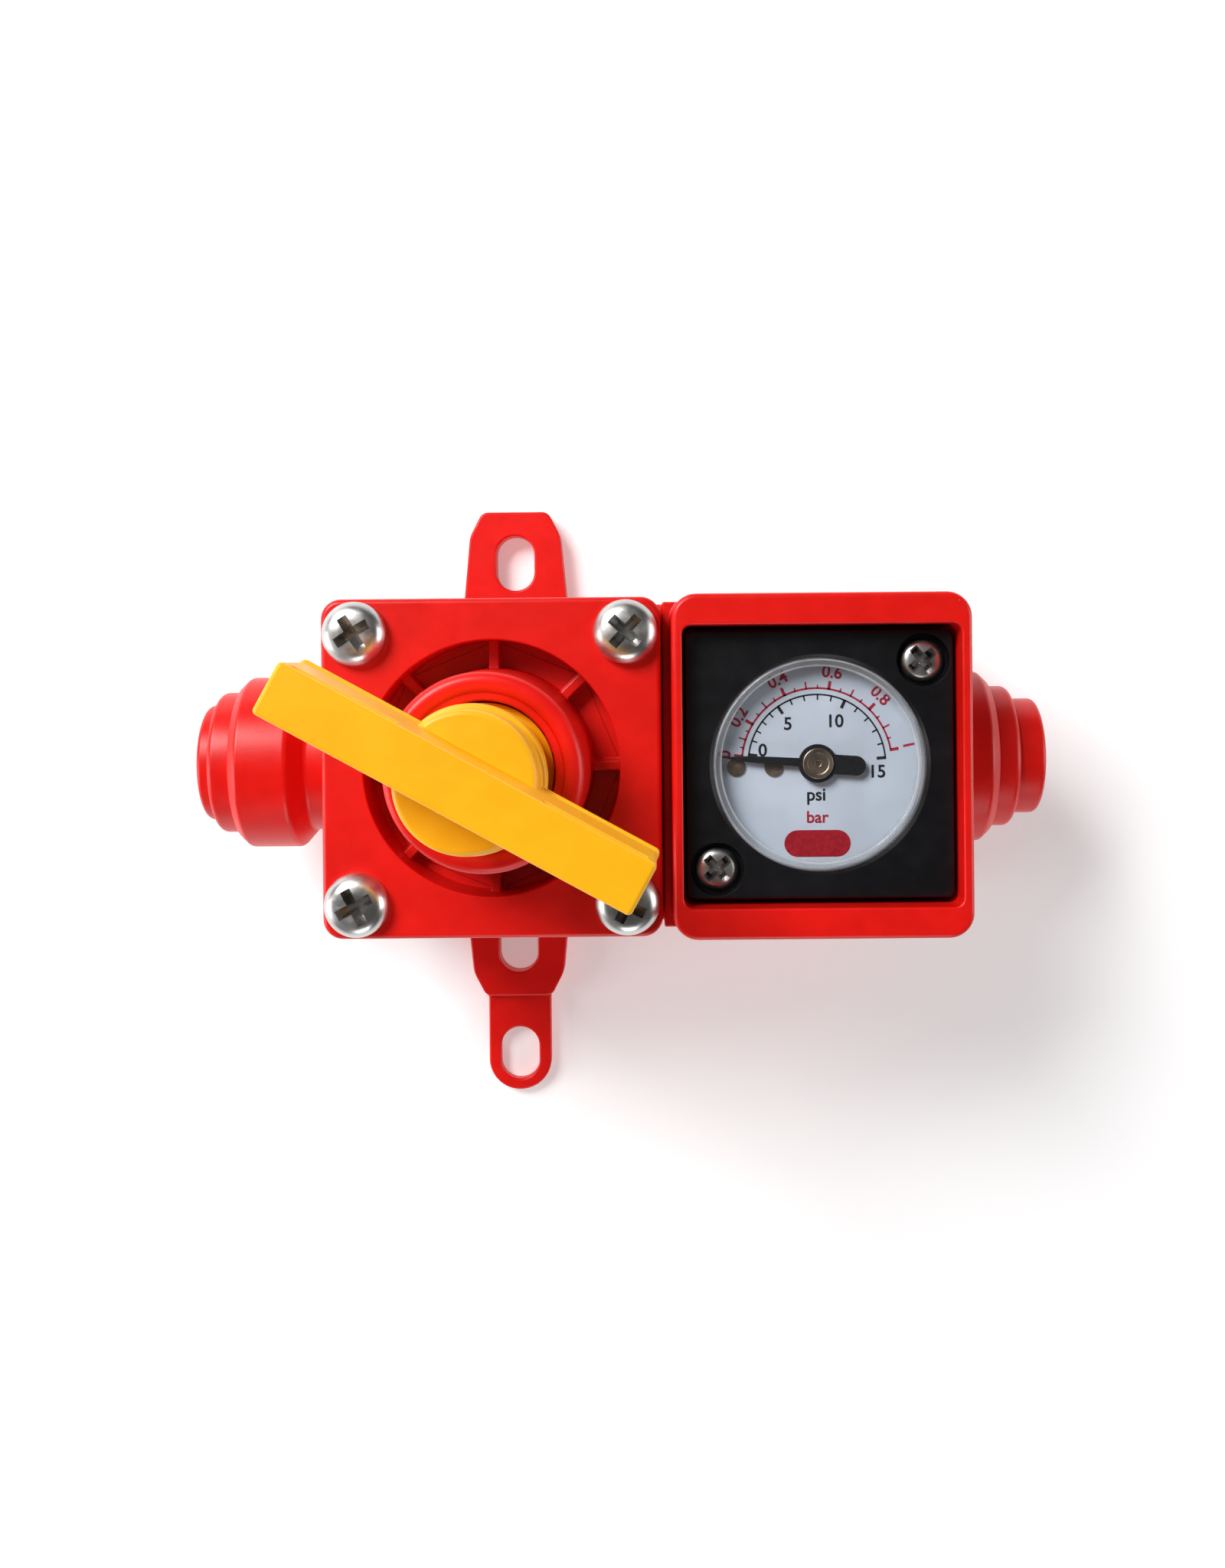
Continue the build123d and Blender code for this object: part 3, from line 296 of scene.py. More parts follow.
@dataclass(frozen=True)
class MouldedPlastic:
    """Injection-moulded plastic: slight flow marks, fine grain, faint scuffs and dust."""

    name: str
    colour: Colour
    roughness: float = 0.3
    grain_mm: float = 0.01
    mottle: float = 0.12

    def make(self) -> bpy.types.Material:
        """Builds the material."""
        t = Tree(self.name)
        flow = t.noise(9.0, 3.0, 0.6, (1.0, 1.6, 0.7))
        cloud = t.noise(2.2, 2.0)
        fine = t.noise(0.22, 2.0)
        scuffs = t.noise(3.0, 5.0, 0.75, (1.0, 14.0, 3.0)).ramp(0.62, 0.72)
        dust = t.specks(2.3, 0.03) * t.noise(5.0).ramp(0.55, 0.66)
        tone = (flow * 0.65 + cloud * 0.35).ramp(0.35, 0.68)
        dark = shade(self.colour, 1 - self.mottle)
        light = shade(self.colour, 1 + self.mottle)
        base = t.blend(tone, dark, light)
        pale = (0.8, 0.78, 0.75, 1.0)
        dusty = t.add("ShaderNodeMix", {"data_type": "RGBA"}, {0: dust * 0.25, 6: base, 7: pale})
        rough = cloud * 0.1 + scuffs * 0.14 + dust * 0.3 + (self.roughness - 0.05)
        height = fine * 0.6 + flow * 1.4 - scuffs * 0.25 + dust * 0.5
        return t.surface(
            {
                "Base Color": dusty.outputs[2],
                "Roughness": rough,
                "Normal": t.bump(height, self.grain_mm),
                "IOR": 1.49,
                "Specular IOR Level": 0.38,
            }
        )


@dataclass(frozen=True)
class BareMetal:
    """Bare metal with turning lines, fine scratches and handled smears."""

    name: str
    colour: Colour
    roughness: float = 0.2
    line_mm: float = 0.12
    tarnish: float = 0.15

    def make(self) -> bpy.types.Material:
        """Builds the material."""
        t = Tree(self.name)
        lines = t.noise(self.line_mm, 3.0, 0.6, (1.0, 1.0, 8.0))
        scratches = t.noise(1.4, 4.0, 0.7, (1.0, 18.0, 1.0)).ramp(0.6, 0.7)
        smear = t.noise(2.5, 3.0)
        tone = (smear * 0.7 + lines * 0.3).ramp(0.35, 0.65)
        base = t.blend(tone, shade(self.colour, 1 - self.tarnish), self.colour)
        rough = smear.ramp(0.35, 0.7, -0.05, 0.09) + scratches * 0.1 + self.roughness
        return t.surface(
            {
                "Base Color": base,
                "Metallic": 1.0,
                "Roughness": rough,
                "Normal": t.bump(lines * 0.6 - scratches * 0.5, 0.004),
            }
        )


@dataclass(frozen=True)
class SealRubber:
    """Moulded rubber: dull, slightly mottled, with a talc bloom."""

    name: str
    colour: Colour
    roughness: float = 0.55

    def make(self) -> bpy.types.Material:
        """Builds the material."""
        t = Tree(self.name)
        bloom = t.noise(1.8, 4.0, 0.65).ramp(0.5, 0.75)
        pores = t.noise(0.12, 2.0)
        base = t.blend(bloom * 0.35, self.colour, (0.2, 0.2, 0.19))
        rough = bloom * 0.18 + pores * 0.08 + (self.roughness - 0.04)
        return t.surface({"Base Color": base, "Roughness": rough, "Normal": t.bump(pores, 0.012)})


@dataclass(frozen=True)
class PrintedInk:
    """Screen-printed ink with slightly uneven cover."""

    name: str
    colour: Colour

    def make(self) -> bpy.types.Material:
        """Builds the material."""
        t = Tree(self.name)
        cover = t.noise(0.35, 3.0)
        base = t.blend(cover.ramp(0.35, 0.65), shade(self.colour, 0.85), shade(self.colour, 1.15))
        rough = cover * 0.15 + 0.38
        return t.surface({"Base Color": base, "Roughness": rough, "Normal": t.bump(cover, 0.004)})


@dataclass(frozen=True)
class DialPaint:
    """Pale painted dial plate with a satin, faintly clouded coat."""

    name: str
    colour: Colour

    def make(self) -> bpy.types.Material:
        """Builds the material."""
        t = Tree(self.name)
        cloud = t.noise(6.0, 3.0)
        fine = t.noise(0.15, 2.0)
        base = t.blend(cloud.ramp(0.3, 0.7), shade(self.colour, 0.94), shade(self.colour, 1.05))
        rough = fine * 0.12 + cloud * 0.1 + 0.32
        return t.surface({"Base Color": base, "Roughness": rough, "Normal": t.bump(fine, 0.003)})


@dataclass(frozen=True)
class ClearWindow:
    """Clear plastic window with faint wipe marks and a painted highlight ring near its edge."""

    name: str
    centre: Point = (0.0342, 0.0)
    rim_r: float = 0.0103
    alpha: float = 0.07
    rim_alpha: float = 0.75

    def make(self) -> bpy.types.Material:
        """Builds the material."""
        t = Tree(self.name)
        wipes = t.noise(2.0, 4.0, 0.7, (1.0, 6.0, 1.0)).ramp(0.55, 0.75)
        haze = t.noise(5.0, 2.0).ramp(0.4, 0.7)
        away = t.radial(self.centre)
        # Painted highlight: from this radius out to the lens's edge, a pale, less transparent ring
        # stands in for the light that the lens rim catches.
        highlight_band = away.ramp(self.rim_r - 0.0001, self.rim_r)
        highlight_line = highlight_band * away.ramp(self.rim_r + 0.0001, self.rim_r + 0.0002, 1.0, 0.0)
        edge = away.ramp(self.rim_r + 0.0005, self.rim_r + 0.0007)
        painted_ring_highlight = highlight_band * 0.35 + highlight_line * 0.4 + edge * 0.5
        rough = wipes * 0.06 + haze * 0.03 + 0.03
        # The pale colour inside the ring is the painted highlight; elsewhere the window keeps its
        # faint dark tint.
        base = t.blend(painted_ring_highlight, (0.02, 0.03, 0.04), (0.7, 0.74, 0.78))
        patchy_highlight = painted_ring_highlight * t.noise(3.5, 2.0).ramp(0.3, 0.7, 0.4, 1.0)
        alpha = patchy_highlight * self.rim_alpha + wipes * 0.02 + self.alpha
        return t.surface({"Base Color": base, "Roughness": rough, "Alpha": alpha, "IOR": 1.49})


@dataclass(frozen=True)
class PaleFloor:
    """Plain pale table top that glows a little, so that it reads as white."""

    name: str
    glow: float = 0.3

    def make(self) -> bpy.types.Material:
        """Builds the material."""
        t = Tree(self.name)
        cloud = t.noise(60.0, 3.0)
        base = t.blend(cloud.ramp(0.3, 0.7), (0.78, 0.78, 0.78), (0.8, 0.8, 0.8))
        glow = {"Emission Color": (1.0, 1.0, 1.0, 1.0), "Emission Strength": self.glow}
        return t.surface({"Base Color": base, "Roughness": cloud * 0.1 + 0.6, **glow})


RED = (0.71, 0.006, 0.003)
YELLOW = (1.0, 0.46, 0.004)

FINISHES = {
    "red_plastic": MouldedPlastic("red_plastic", RED, 0.36, mottle=0.06),
    "yellow_plastic": MouldedPlastic("yellow_plastic", YELLOW, 0.4, mottle=0.04),
    "stainless": BareMetal("stainless", (0.66, 0.65, 0.63), 0.33),
    "spring_steel": BareMetal("spring_steel", (0.5, 0.5, 0.51), 0.28),
    "brass": BareMetal("brass", (0.52, 0.42, 0.32), 0.34, tarnish=0.3),
    "black_plastic": MouldedPlastic("black_plastic", (0.005, 0.0055, 0.007), 0.36, mottle=0.3),
    "seal_rubber": SealRubber("seal_rubber", (0.012, 0.012, 0.012)),
    "diaphragm_rubber": SealRubber("diaphragm_rubber", (0.03, 0.03, 0.035)),
    "dial_face": DialPaint("dial_face", (0.7, 0.8, 0.93)),
    "clear_window": ClearWindow("clear_window"),
    "white_plastic": MouldedPlastic("white_plastic", (0.8, 0.8, 0.78), 0.4, mottle=0.05),
    "pointer_black": PrintedInk("pointer_black", (0.01, 0.01, 0.011)),
}


class Paint:
    """Makes each finish once and dresses pieces in it."""

    def __init__(self) -> None:
        """Starts with no material made."""
        self.made: dict[str, bpy.types.Material] = {}

    def get(self, slot: str) -> bpy.types.Material:
        """Gives a slot's material.

        Args:
            slot: the record's material slot.

        Returns:
            The material, made on first use.
        """
        if slot not in self.made:
            self.made[slot] = FINISHES[slot].make()
        return self.made[slot]

    def dress(
        self, piece: Item, slot: str, finish: Optional[bpy.types.Material] = None
    ) -> None:
        """Gives a new piece its only material, the slot's unless it has one of its own.

        Args:
            piece: the piece.
            slot: the record's material slot.
            finish: a material of its own, where it isn't the slot's.
        """
        piece.data.materials.clear()
        piece.data.materials.append(finish or self.get(slot))


# ---------------------------------------------------------------- solids


MEET = 2e-3
PLANE = 0.01


class Joining(Enum):
    """How one solid acts on another."""

    ADD = "UNION"
    CUT = "DIFFERENCE"


def linked(name: str, data: bpy.types.ID) -> Item:
    """Puts a new object with its data in the scene."""
    made = bpy.data.objects.new(name, data)
    bpy.context.scene.collection.objects.link(made)
    return made


def as_mesh(bm: Solid, name: str) -> bpy.types.Mesh:
    """Turns a solid, which is used up, into a mesh."""
    mesh = bpy.data.meshes.new(name)
    bm.to_mesh(mesh)
    bm.free()
    return mesh


def applied(holder: Item) -> bpy.types.Mesh:
    """Gives the mesh that an object shows and removes the object."""
    bpy.context.view_layer.update()
    shown = holder.evaluated_get(bpy.context.evaluated_depsgraph_get())
    mesh = bpy.data.meshes.new_from_object(shown)
    bpy.data.objects.remove(holder)
    return mesh


def cleaned(mesh: bpy.types.Mesh) -> Solid:
    """Gives a mesh as a solid whose points that nearly meet are joined."""
    bm = bmesh.new()
    bm.from_mesh(mesh)
    bmesh.ops.remove_doubles(bm, verts=bm.verts, dist=MEET)
    bmesh.ops.dissolve_degenerate(bm, edges=bm.edges, dist=MEET / 2)
    return bm


def is_upright(edge: bmesh.types.BMEdge) -> bool:
    """Whether an edge leaves its level."""
    return abs(edge.verts[0].co.z - edge.verts[1].co.z) > PLANE


def rim_of(bm: Solid, top: float) -> list[bmesh.types.BMEdge]:
    """The edges round a solid's top face."""
    return [e for e in bm.edges if all(v.co.z > top - PLANE for v in e.verts)]


def segments_for(radius: float) -> int:
    """How many sides a round of a radius in millimetres gets."""
    for limit, sides in ((0.7, 20), (1.6, 32), (4.0, 64), (8.0, 96)):
        if radius <= limit:
            return sides
    return 128


def cone(radii: Point, low: float, high: float, at: Point = (0, 0), sides: int = 4) -> Solid:
    """An upright cone or pyramid.

    Args:
        radii: its radii at its lower and its upper end.
        low: its lower end.
        high: its upper end.
        at: its X and Y.
        sides: how many sides it has.

    Returns:
        The solid.
    """
    bm = bmesh.new()
    bmesh.ops.create_cone(
        bm,
        cap_ends=True,
        segments=sides,
        radius1=radii[0],
        radius2=radii[1],
        depth=high - low,
        matrix=Matrix.Translation((*at, (low + high) / 2)),
    )
    return bm


def rod(radius: float, low: float, high: float, at: Point = (0, 0)) -> Solid:
    """An upright cylinder.

    Args:
        radius: its radius.
        low: its lower end.
        high: its upper end.
        at: its X and Y.

    Returns:
        The solid.
    """
    return cone((radius, radius), low, high, at, segments_for(radius))


def slab(
    size: Point, low: float, high: float, at: Point = (0, 0), corner: float = 0.0, sides: int = 8
) -> Solid:
    """An upright block with rounded upright corners.

    Args:
        size: its X and Y lengths.
        low: its lower end.
        high: its upper end.
        at: its centre's X and Y.
        corner: the corners' radius.
        sides: how many sides each corner has.

    Returns:
        The solid.
    """
    bm = bmesh.new()
    place = Matrix.Translation((*at, (low + high) / 2))
    bmesh.ops.create_cube(bm, size=1.0, matrix=place @ Matrix.Diagonal((*size, high - low, 1)))
    if corner:
        soften(bm, filter(is_upright, list(bm.edges)), corner, sides)
    return bm


def soften(bm: Solid, edges: Iterable[bmesh.types.BMEdge], width: float, sides: int) -> None:
    """Rounds edges.

    Args:
        bm: the solid.
        edges: the edges to round.
        width: how far the rounding reaches.
        sides: how many faces it has.
    """
    bmesh.ops.bevel(
        bm,
        geom=list(edges),
        offset=width,
        offset_type="OFFSET",
        affect="EDGES",
        segments=sides,
        profile=0.5,
        material=-1,
    )


def rounded(points: Sequence[tuple], sides: int = 5) -> list[Point]:
    """Replaces the corners of an outline that have a radius with arcs.

    Args:
        points: (x, y) or (x, y, radius) corners.
        sides: how many straight sides each arc has.

    Returns:
        The finer outline.
    """
    out: list[Point] = []
    count = len(points)
    for i, point in enumerate(points):
        if len(point) < 3 or i in (0, count - 1):
            out.append((point[0], point[1]))
            continue
        here = Vector(point[:2])
        before = (Vector(points[i - 1][:2]) - here).normalized()
        after = (Vector(points[i + 1][:2]) - here).normalized()
        half = before.angle(after) / 2
        reach = point[2] / math.tan(half)
        centre = here + (before + after).normalized() * point[2] / math.sin(half)
        start = here + before * reach - centre
        end = here + after * reach - centre
        turn = start.angle_signed(end)
        for step in range(sides + 1):
            spoke = start.copy()
            spoke.rotate(Matrix.Rotation(-turn * step / sides, 2))
            out.append(tuple(centre + spoke))
    return out


def turned(points: Sequence[Point], ring: bool = False) -> Solid:
    """A turned solid about Z.

    Args:
        points: its half outline as (radius, height), from axis to axis, or all round for a ring.
        ring: whether the outline is a closed one off the axis.

    Returns:
        The solid.
    """
    bm = bmesh.new()
    verts = [bm.verts.new((r, 0, z)) for r, z in points]
    edges = [bm.edges.new(pair) for pair in zip(verts, verts[1:])]
    if ring:
        edges.append(bm.edges.new((verts[-1], verts[0])))
    bmesh.ops.spin(
        bm,
        geom=verts + edges,
        axis=(0, 0, 1),
        cent=(0, 0, 0),
        steps=segments_for(max(p[0] for p in points)),
        angle=FULL_TURN,
        use_merge=True,
    )
    bmesh.ops.remove_doubles(bm, verts=bm.verts, dist=1e-4)
    bmesh.ops.recalc_face_normals(bm, faces=bm.faces)
    return bm


def helix(
    section: Sequence[Point], pitch: float, turns: float, start: float, sides: int
) -> Solid:
    """A section wound up a helix about Z, closed at both ends.

    Args:
        section: its corners as (radius, height above the start).
        pitch: the rise of one turn.
        turns: how many turns it makes.
        start: the height where it starts.
        sides: how many steps a turn has.

    Returns:
        The solid.
    """
    bm = bmesh.new()
    verts = [bm.verts.new((r, 0, start + z)) for r, z in section]
    edges = [bm.edges.new((verts[i - 1], verts[i])) for i in range(len(verts))]
    steps = round(sides * turns)
    bmesh.ops.spin(
        bm,
        geom=verts + edges,
        axis=(0, 0, 1),
        cent=(0, 0, 0),
        dvec=(0, 0, pitch * turns / steps),
        steps=steps,
        angle=FULL_TURN * turns,
    )
    bmesh.ops.holes_fill(bm, edges=[e for e in bm.edges if e.is_boundary], sides=len(section))
    bmesh.ops.recalc_face_normals(bm, faces=bm.faces)
    return bm


def placed(bm: Solid, matrix: Matrix) -> Solid:
    """Moves a solid and gives it back."""
    bmesh.ops.transform(bm, matrix=matrix, verts=bm.verts)
    if matrix.determinant() < 0:
        bmesh.ops.reverse_faces(bm, faces=bm.faces)
    return bm


def spun(bm: Solid, degrees: float, at: Point = (0, 0)) -> Solid:
    """Turns a solid about Z and then moves it to a place."""
    return placed(bm, Matrix.Translation((*at, 0)) @ Matrix.Rotation(math.radians(degrees), 4, "Z"))


def merged(parts: Sequence[Solid]) -> Solid:
    """Puts several solids in one mesh, each still a shell of its own.

    Args:
        parts: the solids, which are used up.

    Returns:
        The mesh.
    """
    whole = bmesh.new()
    for part in parts:
        spare = as_mesh(part, "part")
        whole.from_mesh(spare)
        bpy.data.meshes.remove(spare)
    return whole


class Stock:
    """A closed solid in millimetres that is added to and cut, then finished in metres."""

    def __init__(self, bm: Solid) -> None:
        """Starts from a solid.

        Args:
            bm: the solid, which is used up.
        """
        self.mesh = as_mesh(bm, "stock")

    def _modify(self, kind: str, settings: dict[str, object]) -> None:
        """Applies one modifier to the solid.

        Args:
            kind: the modifier's type.
            settings: its settings.
        """
        holder = linked("stock", self.mesh)
        modifier = holder.modifiers.new("work", kind)
        for name, value in settings.items():
            setattr(modifier, name, value)
        self.mesh = applied(holder)

    def work(self, how: Joining, tools: Sequence[Solid]) -> "Stock":
        """Adds or cuts away solids.

        Args:
            how: whether they are added or cut away.
            tools: the solids, which are used up.

        Returns:
            The stock itself.
        """
        group = bpy.data.collections.new("tools")
        spares = []
        for tool in tools:
            spare = bpy.data.objects.new("tool", as_mesh(tool, "tool"))
            group.objects.link(spare)
            spares.append(spare)
        settings = {"solver": "EXACT", "operation": how.value}
        settings |= {"operand_type": "COLLECTION", "collection": group}
        self._modify("BOOLEAN", settings)
        for spare in spares:
            bpy.data.meshes.remove(spare.data)
        bpy.data.collections.remove(group)
        return self

    def add(self, *tools: Solid) -> "Stock":
        """Joins solids on."""
        return self.work(Joining.ADD, tools)

    def cut(self, *tools: Solid) -> "Stock":
        """Cuts solids away."""
        return self.work(Joining.CUT, tools)

    def as_bmesh(self) -> Solid:
        """Gives the solid back as a mesh to work on, and is used up."""
        bm = cleaned(self.mesh)
        bpy.data.meshes.remove(self.mesh)
        return bm

    def softened(self, edge: float, sides: int = 2, limit: float = 32.0) -> Solid:
        """Rounds the sharp edges and gives the solid back as a mesh, and is used up.

        Args:
            edge: how far the rounding of an edge reaches.
            sides: how many faces a rounded edge has.
            limit: the angle in degrees past which an edge is sharp.

        Returns:
            The mesh.
        """
        bm = self.as_bmesh()
        sharp = [e for e in bm.edges if e.is_manifold and e.calc_face_angle() > math.radians(limit)]
        soften(bm, sharp, edge, sides)
        return bm

    def finish(self, name: str, edge: float = 0.0, sides: int = 3, limit: float = 32.0) -> Item:
        """Rounds the sharp edges, smooths the shading and brings the solid to metres.

        Args:
            name: the piece's name.
            edge: how far the rounding of an edge reaches.
            sides: how many faces a rounded edge has.
            limit: the angle in degrees past which an edge is sharp.

        Returns:
            The finished object.
        """
        self.mesh = as_mesh(cleaned(self.mesh), "stock")
        self.mesh.shade_smooth()
        if edge:
            settings = {
                "width": edge,
                "segments": sides,
                "limit_method": "ANGLE",
                "angle_limit": math.radians(limit),
                "use_clamp_overlap": False,
                "harden_normals": True,
                "miter_outer": "MITER_ARC",
            }
            self._modify("BEVEL", settings)
        self.mesh.set_sharp_from_angle(angle=math.radians(limit + 8))
        self._modify("WEIGHTED_NORMAL", {"keep_sharp": True})
        self.mesh.name = name
        self.mesh.transform(Matrix.Scale(MM, 4))
        return linked(name, self.mesh)


@dataclass(frozen=True)
class Box:
    """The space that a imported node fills, in millimetres."""

    low: Vector
    high: Vector

    @classmethod
    def of(cls, node: str) -> "Box":
        """The box of a node at rest."""
        low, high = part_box(node)
        return cls(Vector(low) / MM, Vector(high) / MM)

    @property
    def size(self) -> Vector:
        """Its three lengths."""
        return self.high - self.low

    @property
    def middle(self) -> Vector:
        """Its centre."""
        return (self.high + self.low) / 2


# ---------------------------------------------------------------- screws


@dataclass(frozen=True)
class PanScrew:
    """A cross-recessed pan-head screw; sizes in millimetres."""

    head_r: float
    head_h: float
    shank_r: float
    length: float
    recess: float
    wing: float
    recess_below: float = 0.5
    recess_over: float = 0.2
    taper: Point = (0.6, 0.35)
    neck: float = 0.9
    point_h: float = 1.4

    def head(self) -> list[tuple]:
        """The head's half outline, from its underside to its crown."""
        r, h = self.head_r, self.head_h
        return [
            (0, -self.neck),
            (self.shank_r * 0.95, -self.neck),
            (self.shank_r * 0.95, 0),
            (r * 0.985, 0, 0.08),
            (r, h * 0.42, h * 0.5),
            (r * 0.80, h * 0.90, r * 0.45),
            (r * 0.42, h * 0.985, r),
            (0, h),
        ]

    def cutter(self) -> Solid:
        """The tapered cross that the driver leaves."""
        low, high = -self.recess_below, self.head_h + self.recess_over
        wings = []
        for turn in (0, 90):
            wing = slab((self.recess, self.wing), low, high)
            for vert in wing.verts:
                if vert.co.z < 0:
                    vert.co.x *= self.taper[0]
                    vert.co.y *= self.taper[1]
            wings.append(spun(wing, turn))
        core = cone((self.recess * 0.02, self.recess * 0.29), low, high)
        return Stock(wings[0]).add(wings[1], core).as_bmesh()

    def solid(self, turn: float, at: Point, seat: float, facing: int = 1) -> Solid:
        """One screw in its place.

        Args:
            turn: how far its recess is turned, in degrees.
            at: its X and Y.
            seat: the height that its head stands on.
            facing: 1 when its head faces +Z and -1 when it faces -Z.

        Returns:
            The solid.
        """
        stock = Stock(turned(rounded(self.head(), 4))).cut(self.cutter())
        core_r = self.shank_r * 0.8
        tip = -self.length
        top = 0.2 - self.neck
        point = [(0, tip), (core_r * 0.6, tip + 0.4), (core_r, tip + self.point_h)]
        shank = turned([*point, (core_r, top), (0, top)])
        pitch = self.shank_r * 0.62
        root, crest = self.shank_r * 0.74, self.shank_r
        section = [(root, 0), (crest, pitch * 0.3), (crest, pitch * 0.4), (root, pitch * 0.7)]
        thread = helix(section, pitch, (self.length - 2.2) / pitch, tip + 0.9, 20)
        whole = merged([stock.as_bmesh(), shank, thread])
        flip = Matrix.Identity(4) if facing > 0 else Matrix.Rotation(math.pi, 4, "X")
        place = Matrix.Translation((*at, seat)) @ flip @ Matrix.Rotation(math.radians(turn), 4, "Z")
        return placed(whole, place)


# ---------------------------------------------------------------- sub-assemblies


FITTING_Z = 17.0
RED_SLOT = "red_plastic"


def prism(outline: Sequence[Point], low: float, high: float) -> Solid:
    """An upright solid of any outline.

    Args:
        outline: its corners, anticlockwise.
        low: its lower end.
        high: its upper end.

    Returns:
        The solid.
    """
    bm = bmesh.new()
    face = bm.faces.new([bm.verts.new((x, y, low)) for x, y in outline])
    grown = bmesh.ops.extrude_face_region(bm, geom=[face])["geom"]
    moved = [v for v in grown if isinstance(v, bmesh.types.BMVert)]
    bmesh.ops.translate(bm, vec=(0, 0, high - low), verts=moved)
    bmesh.ops.recalc_face_normals(bm, faces=bm.faces)
    return bm


def corners(reach: float) -> list[Point]:
    """The four corner places of a square pattern."""
    return [(x * reach, y * reach) for x in (-1, 1) for y in (-1, 1)]


class Side(Enum):
    """Which tube fitting: its name and the way it points along X."""

    INLET = -1
    OUTLET = 1

    @property
    def label(self) -> str:
        """Its name in the frame."""
        return self.name.lower()

    def place(self, bm: Solid) -> Solid:
        """Turns a piece modelled along +Z, with the cartridge's face at zero, into its place."""
        box = Box.of(f"{self.label}_cartridge")
        face_x = box.low.x if self is Side.INLET else box.high.x
        turn = Matrix.Rotation(math.radians(90 * self.value), 4, "Y")
        return placed(bm, Matrix.Translation((face_x, 0, FITTING_Z)) @ turn)


